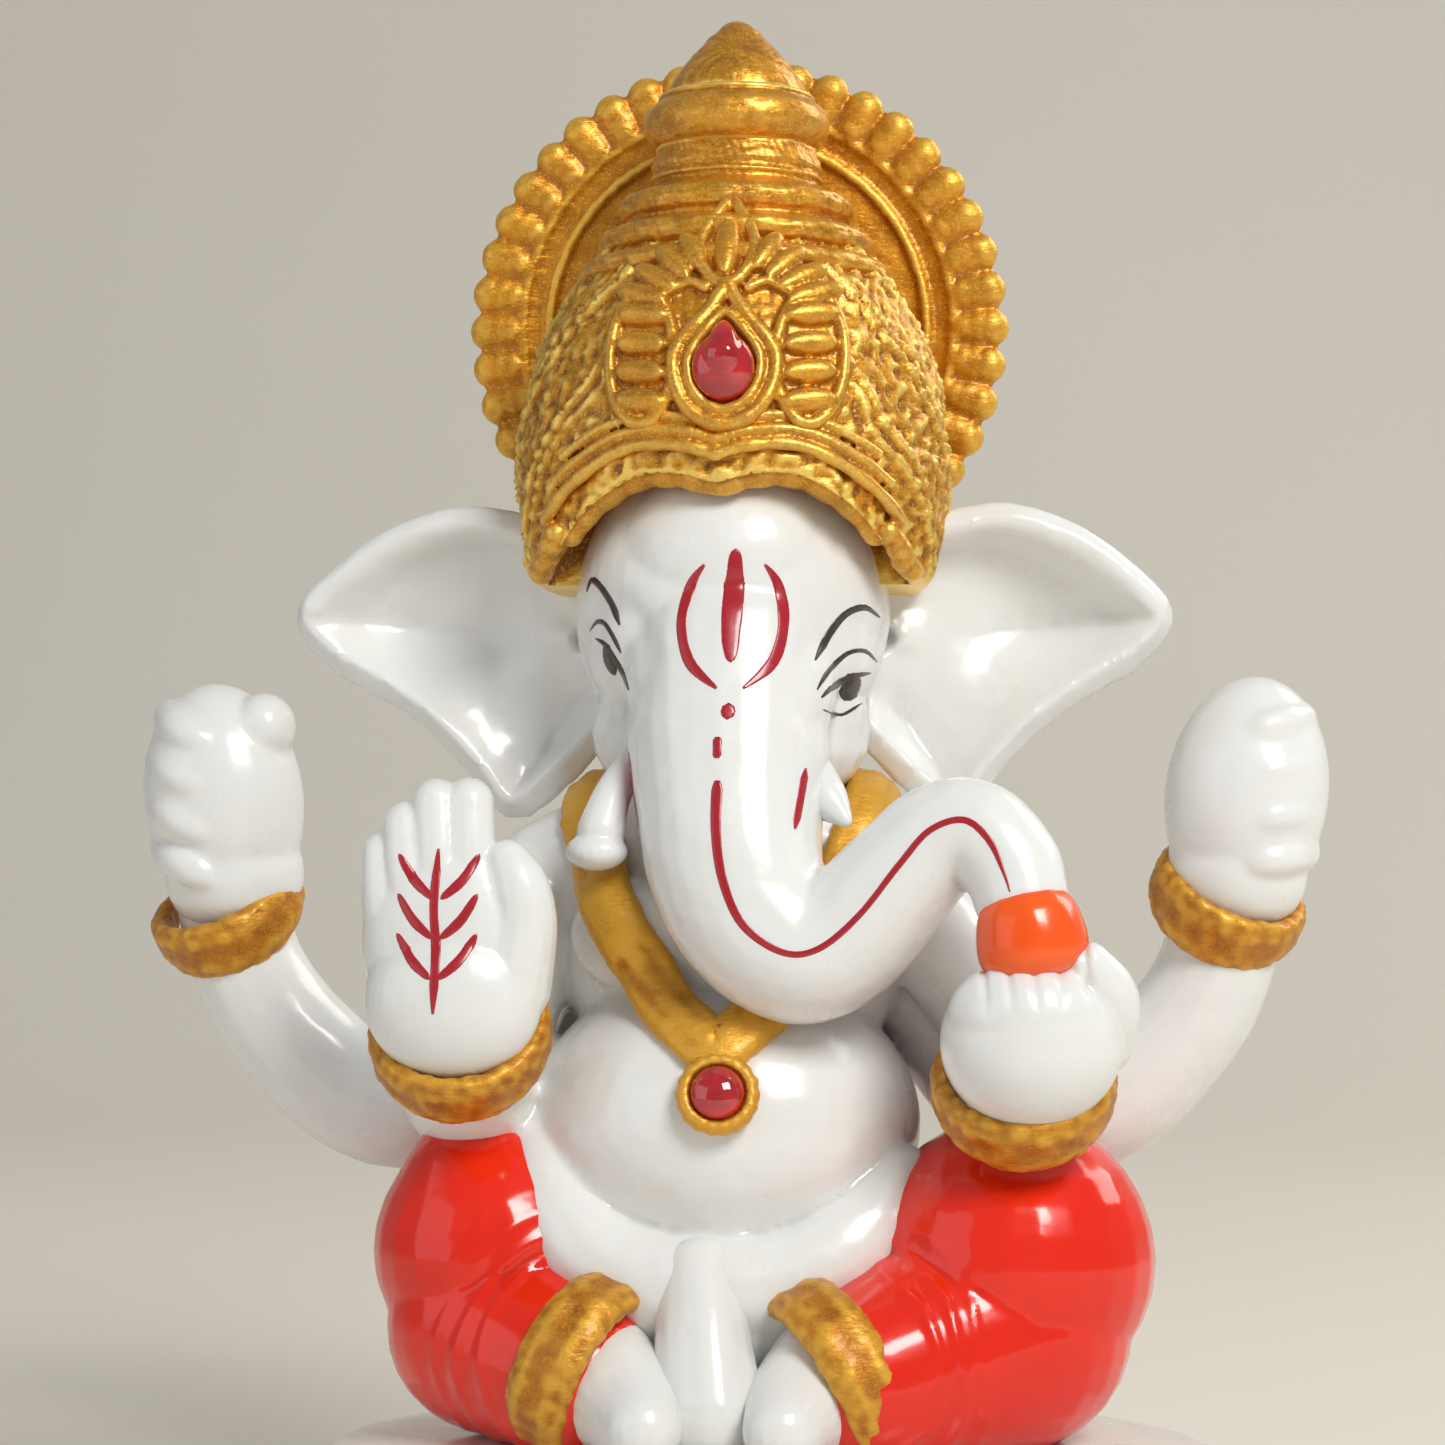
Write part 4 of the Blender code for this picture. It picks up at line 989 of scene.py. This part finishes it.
def makeBrim(head, cap, dome):
    tree = surfaceOf(head, cap)
    level = near("crown_cap", [(0.0, 1.43, -16.2)])[0][2]
    bm = bmesh.new()
    for out, radius, lift, end in brimCords:
        for k, (x, z) in enumerate(brimLine(0.4, out)):
            if abs(x) > end:
                continue
            if out > 1.0:
                spot, normal = fromFront(dome, x, z)
            else:
                left = max(1 - ((z - level) / headOval["halfZ"]) ** 2 - (x / headOval["halfX"]) ** 2, 0.0)
                y = headOval["front"] - headOval["halfY"] * math.sqrt(left)
                spot, normal, _, _ = tree.find_nearest(Vector((x, y, z)))
            twist = 1 + 0.07 * math.sin(k * 0.9 + out)
            ball(bm, spot + normal * lift, (radius * twist,) * 3, segments=12, rings=8)
    brim = cast("crownBrim", bm, 0.2, 1)
    return deliver(brim, "gold", "gold_paint", "crown_brim")


def petal(bm, tree, line, width, lift):
    # one raised lobe along a short (x, z) line
    route = smoothLine(line, 0.35)
    for k, (x, z) in enumerate(route):
        t = k / (len(route) - 1)
        fat = width * math.sqrt(max(1 - (2 * t - 1) ** 2, 0.05))
        spot, normal = fromFront(tree, x, z)
        ball(bm, spot + normal * lift, (fat * 0.5, 0.75, fat * 0.5), segments=14, rings=9)


def ring(centre, halfX, halfZ, tip=0.0):
    # closed (x, z) loop; tip pulls its top into a point
    count = 40
    loop = []
    for k in range(count + 1):
        a = 2 * math.pi * k / count
        up = max(math.cos(a), 0.0)
        pinch = 1 - 0.55 * tip * up ** 2
        loop.append((centre[0] + halfX * pinch * math.sin(a),
                     centre[1] + halfZ * math.cos(a) + tip * up ** 6))
    return loop


def makeMedallion(tree):
    cx, cz = onto("crown_medallion", [(0.6, -3.88)])[0]
    bm = bmesh.new()
    # thin pads that follow the dome, so that everything on them hangs together
    for x, z, rx, rz in onto("crown_medallion", [
        (0.6, -3.28, 4.6, 5.8), (0.5, 2.52, 5.6, 3.4), (-5.8, -3.48, 2.9, 5.0), (7.0, -3.48, 2.9, 5.0),
        (0.3, 6.12, 1.8, 2.4)
    ]):
        for row in range(-6, 7):
            for column in range(-6, 7):
                if math.hypot(row, column) <= 6:
                    spot, normal = fromFront(tree, x + rx * column / 6, z + rz * row / 6)
                    ball(bm, spot - normal * 0.35, (0.95,) * 3, segments=10, rings=7)
    # corded rim round the stone, then a larger raised line that points up
    layCord(bm, tree, ring((cx, cz - 0.1), 2.7, 3.4, 0.6), 0.45, 1.0, knots=0.06)
    layCord(bm, tree, ring((cx, cz + 0.1), 3.85, 4.7, 1.4), 0.62, 0.9, knots=0.05)
    for side in (-1, 1):
        ox = cx + side * 6.3
        layCord(bm, tree, ring((ox, cz + 0.6), 2.5, 5.1), 0.50, 0.75, knots=0.05)
        for k in range(4):
            z = cz - 2.7 + 2.2 * k
            petal(bm, tree, [(ox - 1.6, z - 0.1 * side), (ox + 1.6, z + 0.1 * side)], 2.0, 0.8)
        for k, (x, z) in enumerate([(8.2, 6.0), (6.9, 7.6), (5.3, 9.0), (3.5, 10.1)]):
            inner = (cx + side * (x * 0.58), cz + z * 0.66 + 1.0)
            petal(bm, tree, [inner, (cx + side * x, cz + z)], 1.9, 0.85)
        shoulder = [(1.6, 5.9), (2.9, 6.4), (4.6, 5.6), (6.0, 5.2)]
        layCord(bm, tree, [(cx + side * x, cz + z) for x, z in shoulder], 0.42, 0.95)
    layCord(bm, tree, ring((cx - 0.2, cz + 9.3), 2.0, 3.1, 0.8), 0.52, 0.95)
    petal(bm, tree, [(cx - 0.2, cz + 7.2), (cx - 0.2, cz + 11.2)], 2.1, 0.9)
    medallion = cast("crownMedallion", bm, 0.17, 2)
    deliver(medallion, "gold", "gold_paint", "crown_medallion")
    sx, sz = onto("crown_stone", [(0.06, -0.66)])[0]
    spot, normal = fromFront(tree, sx, sz)
    bm = bmesh.new()
    ball(bm, spot + normal * 1.2, (2.45, 1.5, 2.7), segments=40, rings=24)
    limb(bm, [(*(spot + normal * lift + Vector((0, back, up))), radius) for lift, back, up, radius in
              ((1.5, 0.0, 0.8, 1.7), (1.4, 0.3, 2.2, 1.1), (1.2, 0.6, 3.3, 0.45))], gap=0.3)
    stone = cast("crownStone", bm, 0.15, 3)
    return medallion, deliver(stone, "ruby", "ruby_enamel", "crown_stone")


def makeTiers():
    # a narrow neck, then three collars that step outwards, each a thick cord over a thin one
    line = [(11.7, 16.6), (12.2, 17.2), (11.9, 17.9), (12.5, 18.5), (12.4, 19.3), (11.6, 19.8), (10.5, 19.9),
            (10.4, 20.3), (10.9, 20.6), (11.1, 21.3), (10.8, 22.0), (9.6, 22.5), (8.9, 22.7), (8.9, 23.1),
            (9.3, 23.5), (9.5, 24.2), (9.1, 25.0), (7.6, 25.5), (6.9, 25.9), (6.8, 26.3), (7.0, 26.6),
            (6.7, 27.1), (6.85, 27.6), (6.6, 28.4), (6.4, 29.3)]
    profile = [(0.0, line[0][1])] + smoothLine(line, 0.13) + [(0.0, line[-1][1])]
    bm = bmesh.new()
    turned(bm, profile, 260)
    for vert in bm.verts:
        reach = math.hypot(vert.co.x, vert.co.y)
        if reach > 5.0:
            a = math.atan2(vert.co.x, -vert.co.y)
            twist = (0.02 * math.cos(a * 60 + vert.co.z * 3.4) + 0.18 * noise.noise(vert.co * 0.55)
                     + 0.10 * noise.noise((a * 6, vert.co.z * 2.4, 0.0)))
            vert.co.x *= 1 + twist / reach
            vert.co.y *= 1 + twist / reach
    bm.transform(crownPlace(crownSet["tierDepth"]))
    trimBehind(bm, crownBack)
    return deliver(toPiece("crownTiers", bm), "gold", "gold_paint", "crown_tiers")


def makeDrum():
    profile = [(0, 29.0), (5.9, 29.0), (6.7, 29.5), (7.3, 30.3), (7.5, 31.1), (7.3, 32.0), (6.7, 32.7),
               (6.3, 33.0), (6.35, 33.35), (6.0, 33.6), (0, 33.7)]
    dense = profile[:1] + smoothLine(profile[1:-1], 0.18) + profile[-1:]
    bm = bmesh.new()
    turned(bm, dense, 160)
    bm.transform(crownPlace(crownSet["topDepth"]))
    trimBehind(bm, crownBack)
    piece = toPiece("crownDrum", bm)
    sculpt(piece, lambda p: 0.07 * lumps(p, 1.4) + 0.04 * lumps(p, 0.5, 2.0))
    return deliver(piece, "gold", "gold_paint", "crown_drum")


def makeFinial():
    profile = [(5.5, 33.2), (5.6, 33.7), (5.35, 34.5), (4.8, 35.4), (4.1, 36.3), (3.35, 37.2), (2.6, 38.0),
               (1.85, 38.8), (1.15, 39.4), (0.55, 39.8)]
    dense = [(0, 33.2)] + smoothLine(profile, 0.2) + [(0, 39.95)]
    bm = bmesh.new()
    turned(bm, dense, 150)
    bm.transform(crownPlace(crownSet["topDepth"]))
    trimBehind(bm, crownBack)
    piece = toPiece("crownFinial", bm)

    def streaks(points):
        around = np.arctan2(points[:, 0], -points[:, 1])
        fine = np.stack([around * 9.0, points[:, 2] * 0.35, np.zeros(len(around))], axis=1)
        return 0.10 * lumps(fine, 1.0) + 0.06 * lumps(points, 0.7)

    sculpt(piece, streaks)
    return deliver(piece, "gold", "gold_paint", "crown_finial")


haloSet = {"lobes": 42, "lobe": ((1.6, 1.62, 1.55), (2.6, 1.7, 1.7), (3.5, 1.55, 1.5)), "rings": (4.6, 6.8),
           "beads": 260, "ring": 0.42}


def makeHalo():
    low, high = (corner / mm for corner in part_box("halo"))
    cx, cy, cz = middle("halo")
    radius = (high.x - low.x) / 2
    thick = high.y - low.y
    bm = bmesh.new()
    face = -thick / 2
    turned(bm, [(0, face + 0.4), (8.0, face + 0.3), (15.5, face + 0.75), (17.6, face + 0.5),
                (19.4, face + 0.7), (20.6, -0.2), (20.8, 0.5 * thick - 0.5), (19.8, 0.5 * thick - 0.1),
                (0, 0.5 * thick - 0.1)], 160)
    upright = Matrix.Translation(Vector((cx, cy, cz)) * mm) @ Matrix.Rotation(math.radians(-90), 4, "X")
    bm.transform(upright @ Matrix.Scale(mm, 4))
    for k in range(haloSet["lobes"]):
        a = 2 * math.pi * (k + 0.5) / haloSet["lobes"]
        for inset, half, long in haloSet["lobe"]:
            reach = radius - inset
            ball(bm, (cx + reach * math.sin(a), cy - 0.05, cz + reach * math.cos(a)),
                 (half, thick * 0.5, long), turn=(0.0, a, 0.0), segments=18, rings=12)
    for inset in haloSet["rings"]:
        reach = radius - inset
        for k in range(haloSet["beads"]):
            a = 2 * math.pi * k / haloSet["beads"]
            ball(bm, (cx + reach * math.sin(a), cy + face + 0.55, cz + reach * math.cos(a)),
                 (haloSet["ring"],) * 3, segments=8, rings=6)
    halo = cast("haloPlate", bm, 0.26, 1)
    sculpt(halo, lambda p: 0.05 * lumps(p, 0.7) + 0.05 * lumps(p, 2.2, 6.0))
    return deliver(halo, "haloGold", "halo_gold", "halo")


def makeSweet():
    bm = bmesh.new()
    turned(bm, [(0, -3.6), (2.2, -3.5), (3.4, -3.0), (4.1, -2.2), (4.3, -1.0), (4.1, 0.4), (3.8, 1.7),
                (3.2, 2.7), (2.2, 3.3), (1.0, 3.7), (0, 3.8)], 120)
    for vert in bm.verts:
        a = math.atan2(vert.co.y, vert.co.x)
        fold = 0.008 * math.cos(a * 9 + vert.co.z * 0.3) * max(0.0, min(1.0, (vert.co.z + 2.5) / 4))
        vert.co.x *= 1 + fold
        vert.co.y *= 1 + fold
    place = Matrix.Translation(Vector(middle("modak")) * mm) @ Matrix.Rotation(math.radians(-10), 4, "Y")
    bm.transform(place @ Matrix.Scale(mm, 4))
    piece = toPiece("modakSweet", bm)
    smooth = piece.modifiers.new("round", "SUBSURF")
    smooth.levels = smooth.render_levels = 1
    settled(piece)
    return deliver(piece, "orange", "orange_enamel", "modak")


def ovalPlace(x, y, halfX, halfY):
    # turns a unit round shape with its heights in millimetres into an upright oval
    return Matrix.Translation((x * mm, y * mm, 0)) @ Matrix.Diagonal((halfX * mm, halfY * mm, mm, 1.0))


def makeSeat():
    low, high = (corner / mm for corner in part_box("seat_cushion"))
    cx, cy, _ = middle("seat_cushion")
    halfX, halfY = (high.x - low.x) / 2, (high.y - low.y) / 2
    z0, z1 = low.z, high.z
    tall = z1 - z0
    edge = [(0.90, 0.0), (0.955, 0.06), (0.985, 0.16), (0.995, 0.24), (0.975, 0.29), (0.985, 0.36),
            (0.99, 0.5), (0.975, 0.62), (0.94, 0.72), (0.925, 0.755), (0.945, 0.80), (0.935, 0.86),
            (0.89, 0.90), (0.82, 0.94), (0.70, 0.975), (0.52, 1.0)]
    dense = [(0, 0.0)] + smoothLine(edge, 0.012) + [(0, 1.0)]
    bm = bmesh.new()
    turned(bm, [(r, z0 + z * tall) for r, z in dense], 240)
    bm.transform(ovalPlace(cx, cy, halfX, halfY))
    cushion = toPiece("seatCushion", bm)

    def tucks(points):
        around = np.arctan2((points[:, 1] - cy) * 1.4, points[:, 0] - cx)
        side = hill((points[:, 2] - z0) / tall - 0.5, 0.22)
        return (-0.32 * (1 - np.abs(np.sin(around * 22 + 0.6 * lumps(points, 9.0))) ** 0.6) * side
                + 0.10 * lumps(points, 5.0))

    sculpt(cushion, tucks)
    deliver(cushion, "seatWhite", "seat_white", "seat_cushion")
    low, high = (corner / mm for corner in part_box("seat_plinth"))
    halfX, halfY = (high.x - low.x) / 2, (high.y - low.y) / 2
    base = [(0.955, 0.0), (0.995, 0.10), (1.0, 0.2), (0.985, 0.34), (0.955, 0.42), (0.94, 0.55),
            (0.945, 0.68), (0.965, 0.80), (0.97, 0.92), (0.955, 1.0)]
    dense = [(0, 0.0)] + smoothLine(base, 0.02) + [(0, 1.0)]
    bm = bmesh.new()
    turned(bm, [(r, low.z + z * (high.z - low.z)) for r, z in dense], 240)
    for vert in bm.verts:
        reach = math.hypot(vert.co.x, vert.co.y)
        if reach > 0.9:
            a = math.atan2(vert.co.y, vert.co.x)
            leaf = 0.006 * abs(math.sin(a * 24)) ** 0.6 * math.exp(-((vert.co.z - low.z - 0.8) / 1.2) ** 2)
            vert.co.x *= 1 - 0.006 + leaf
            vert.co.y *= 1 - 0.006 + leaf
    cx, cy, _ = middle("seat_plinth")
    bm.transform(ovalPlace(cx, cy, halfX, halfY))
    plinth = toPiece("seatPlinth", bm)
    deliver(plinth, "seatGold", "seat_gold", "seat_plinth")


def paintSet(name, tree, strokes, finish, slot):
    bm = bmesh.new()
    for line, width, taper in strokes:
        brushStroke(bm, tree, line, width, taper)
    return deliver(toPiece(name, bm, tidy=False), finish, slot)


def makeLines(head, palm):
    face = surfaceOf(head)
    # generic forehead mark: a bud between two leaves, and a dot
    mark = [
        (onto("head", [(-5.9, 4.86), (-6.0, 7.47), (-5.9, 10.47), (-5.8, 13.67)]), 1.9, "oval"),
        (onto("head", [
            (-6.9, 2.86), (-9.1, 4.86), (-9.9, 7.86), (-9.3, 10.86), (-8.2, 12.47)
        ]), 0.95, "point"),
        (onto("head", [
            (-4.9, 2.86), (-2.8, 4.86), (-2.1, 7.86), (-2.6, 10.86), (-3.6, 12.47)
        ]), 0.95, "point"),
        (onto("head", [(-6.0, 0.47), (-5.95, 1.77)]), 1.25, "oval"),
    ]
    paintSet("foreheadMark", face, mark, "redLine", "red_enamel")
    trunk = [
        (onto("head", [(-6.7, -2.44), (-6.7, -0.83)]), 0.8, "blunt"),
        (onto("head", [
            (-6.6, -4.14), (-6.6, -7.84), (-6.0, -11.63), (-4.4, -15.03), (-1.4, -17.03), (1.3, -16.73),
            (4.3, -14.23), (7.3, -10.44), (9.6, -7.84), (12.2, -7.03), (14.1, -8.53), (15.2, -10.84),
            (15.7, -12.34)
        ]), 1.0, "thinning"),
        (onto("head", [(-14.3, -2.03), (-14.0, -4.94), (-13.4, -7.84)]), 0.6, "point"),
        (onto("head", [(-0.2, -3.23), (-0.5, -5.73), (-0.8, -7.84)]), 0.6, "point"),
    ]
    paintSet("trunkLines", face, trunk, "redLine", "red_enamel")
    eyes = [
        (onto("head", [(0.2, 5.06), (1.1, 7.06), (2.3, 8.67), (3.7, 9.27), (4.7, 8.56)]), 0.62, "point"),
        (onto("head", [(0.4, 2.77), (1.3, 4.47), (2.5, 5.67), (3.7, 5.86), (4.4, 5.06)]), 0.42, "point"),
        (onto("head", [(0.7, 2.17), (1.6, 3.17), (2.5, 3.77), (4.0, 4.17)]), 0.5, "point"),
        (onto("head", [(2.1, 1.97), (2.6, 3.06), (2.9, 4.17)]), 1.55, "oval"),
        (onto("head", [(0.8, 1.27), (1.9, 0.86), (3.3, 1.77)]), 0.28, "point"),
        (onto("head", [
            (-18.3, 10.56), (-17.8, 11.47), (-16.9, 10.86), (-15.9, 9.47), (-15.2, 7.86)
        ]), 0.65, "point"),
        (onto("head", [
            (-18.0, 7.47), (-17.3, 8.17), (-16.5, 7.97), (-15.7, 6.86), (-15.1, 5.67)
        ]), 0.45, "point"),
        (onto("head", [(-17.4, 6.86), (-16.4, 6.27), (-15.4, 4.77), (-14.4, 2.77)]), 0.5, "point"),
        (onto("head", [(-16.4, 6.47), (-16.2, 5.17), (-15.7, 3.97)]), 1.15, "oval"),
    ]
    paintSet("eyeLines", face, eyes, "blackLine", "white_resin")
    hand = surfaceOf(palm)
    # plain sprig on the palm
    sprig = [(onto("front_hand_right", [(-1.16, -6.93), (-1.06, -2.93), (-1.36, 1.07), (-1.16, 5.47)]), 0.85,
              "point")]
    for k in range(3):
        up = 3.0 * k - 4.33
        for leaf in ([(-1.36, 0.0), (-2.96, 1.4), (-4.27, 3.4)], [(-0.86, 0.0), (0.73, 1.4), (1.94, 3.4)]):
            sprig.append((onto("front_hand_right", [(x, z + up) for x, z in leaf]), 0.9, "oval"))
    paintSet("palmSprig", hand, sprig, "redLine", "red_enamel")


body = makeBody()
head = makeHead()
makeEar("earRight", "ear_right", -1, 1.0)
makeEar("earLeft", "ear_left", 1, 0.96)
makeTusk("tuskRight", "tusk_right",
         near("tusk_right", [(2.38, 2.72, 4.76, 1.2), (0.18, -0.28, 1.16, 1.45), (-0.72, -1.88, -2.04, 1.9)]),
         near("tusk_right", [(-1.02, -2.28, -3.64, 2.45, 2.2, 1.5)]))
makeTusk("tuskLeft", "tusk_left",
         near("tusk_left", [(-3.51, 1.56, 1.42, 2.5), (-1.51, -1.04, -0.28, 1.8), (-0.21, -2.24, -1.58, 0.95),
                            (0.39, -2.74, -2.18, 0.5)]))
print("casting done")
palm = makePalm()
makeBowlHand()
makeRearHand("rearHandRight", "rear_hand_right", -1, 1.0, 1.75, True)
makeRearHand("rearHandLeft", "rear_hand_left", 1, 0.4, 1.55, False)
makeFoot("footRight", "foot_right", near("foot_right", [
    (-1.58, 3.36, 0.57, 5.2), (1.71, -0.44, -1.43, 4.4), (3.71, -5.44, -2.63, 3.0)
]), -1)
makeFoot("footLeft", "foot_left", near("foot_left", [
    (0.7, 3.12, 0.2, 5.6), (-1.9, -0.48, -1.6, 4.4), (-3.1, -5.48, -2.8, 3.0)
]), 1)
makePleat()
print("hands and feet done")
makeLeg("legRight", "leg_right", "hem_right", [
    near("leg_right", [(5.04, 7.23, -2.48, 9.0), (-2.46, -0.77, -1.98, 9.6)]),
    near("leg_right", [(-3.86, -2.27, 2.12, 9.8), (-5.16, -3.77, 7.31, 5.9)]),
    near("leg_right", [(-3.77, -3.77, -3.48, 8.6), (3.54, -11.27, -6.48, 6.4)]),
], 1.0)
makeLeg("legLeft", "leg_left", "hem_left", [
    near("leg_left", [(-7.3, 7.85, -2.89, 9.6), (3.2, -0.15, -1.89, 11.8)]),
    near("leg_left", [(5.3, -2.15, 1.5, 11.2), (6.9, -3.65, 6.71, 5.8)]),
    near("leg_left", [(4.7, -3.15, -3.5, 10.0), (-5.3, -10.65, -6.89, 7.2)]),
], 4.0)
makeSeatCloth()
for name, (node, radius, axis) in cuffs.items():
    makeBand(name, node, {**cuffShape, "centre": middle(node), "axis": axis, "radius": radius})
makeBand("hemRight", "hem_right", {**hemShape, "centre": near("hem_right", [(0.0, 0.0, -0.61)])[0],
                                   "axis": (0.86, -0.35, -0.38), "radius": 6.3})
makeBand("hemLeft", "hem_left", {**hemShape, "centre": near("hem_left", [(0.0, 0.0, -0.98)])[0],
                                 "axis": (-0.80, -0.40, -0.45), "radius": 6.6})
makeNecklace(body)
makePendant(body)
print("cloth and bands done")
cap, dome = makeCap()
makeBrim(head, cap, dome)
makeMedallion(dome)
makeTiers()
makeDrum()
makeFinial()
makeHalo()
print("crown done")
makeSweet()
makeSeat()
makeLines(head, palm)
print("painted lines done")


roomSet = {"halfWidth": 1.3, "front": -0.9, "back": 0.75, "curve": 0.35, "height": 1.3}
lampSet = {
    "key": {"at": (0.34, -0.48, 0.52), "size": 0.26, "power": 4.0, "tint": (1.0, 0.985, 0.95)},
    "fill": {"at": (-0.60, -0.42, 0.20), "size": 0.60, "power": 0.9, "tint": (0.93, 0.95, 1.0)},
    "rim": {"at": (0.42, 0.30, 0.42), "size": 0.30, "power": 1.1, "tint": (1.0, 0.98, 0.94)},
}
cameraSet = {"aim": (-0.835, -0.088, 71.0), "distance": 350.0, "azimuth": 6.0, "frameWidth": 115.6}


def makeRoom():
    # floor that sweeps up into a wall behind
    bm = bmesh.new()
    wide = roomSet["halfWidth"]
    bend = roomSet["curve"]
    line = [(roomSet["front"], 0.0), (roomSet["back"] - bend, 0.0)]
    line += [(roomSet["back"] - bend + bend * math.sin(a), bend - bend * math.cos(a))
             for a in (math.pi / 2 * k / 16 for k in range(1, 17))]
    line.append((roomSet["back"], roomSet["height"]))
    side = [bm.verts.new((-wide, y, z)) for y, z in line]
    edges = [bm.edges.new(pair) for pair in zip(side, side[1:])]
    grown = bmesh.ops.extrude_edge_only(bm, edges=edges)["geom"]
    shift(bm, grown, (2 * wide, 0, 0))
    bmesh.ops.recalc_face_normals(bm, faces=bm.faces)
    sweepWall = toPiece("paleSweep", bm, tidy=False)
    paint = Finish("paleFloor", Roughness=0.85)
    sweepWall.data.materials.append(paint.setSurface(
        Base_Color=paint.mix(paint.band(paint.cloud(3.0), 0.3, 0.7, (0.0, 0.5)), colour(0.85, 0.805, 0.72),
                             colour(0.80, 0.75, 0.665)),
        Normal=paint.bump(paint.cloud(60.0), 0.05, 0.5)))


def makeLamp(name, spec):
    light = bpy.data.lights.new(name, "AREA")
    light.shape = "SQUARE"
    light.size = spec["size"]
    light.energy = spec["power"]
    light.color = spec["tint"]
    lamp = bpy.data.objects.new(name, light)
    bpy.context.scene.collection.objects.link(lamp)
    lamp.location = spec["at"]
    aim = Vector((0, 0, cameraSet["aim"][2] * mm)) - lamp.location
    lamp.rotation_euler = aim.to_track_quat("-Z", "Y").to_euler()


def makeCamera():
    turn = math.radians(cameraSet["azimuth"])
    x, y, z = cameraSet["aim"]
    lens = bpy.data.cameras.new("camera")
    lens.sensor_width = 36.0
    lens.lens = 36.0 * cameraSet["distance"] / cameraSet["frameWidth"]
    lens.clip_start = 0.01
    camera = bpy.data.objects.new("camera", lens)
    bpy.context.scene.collection.objects.link(camera)
    far = cameraSet["distance"]
    camera.location = Vector((x + far * math.sin(turn), y - far * math.cos(turn), z)) * mm
    camera.rotation_euler = (math.pi / 2, 0.0, turn)
    bpy.context.scene.camera = camera


makeRoom()
for name, spec in lampSet.items():
    makeLamp(name, spec)
makeCamera()
world = bpy.data.worlds.new("paleRoom")
world.use_nodes = True
world.node_tree.nodes["Background"].inputs["Color"].default_value = colour(0.93, 0.95, 0.97)
world.node_tree.nodes["Background"].inputs["Strength"].default_value = 0.30
bpy.context.scene.world = world
bpy.context.scene.view_settings.view_transform = "Standard"
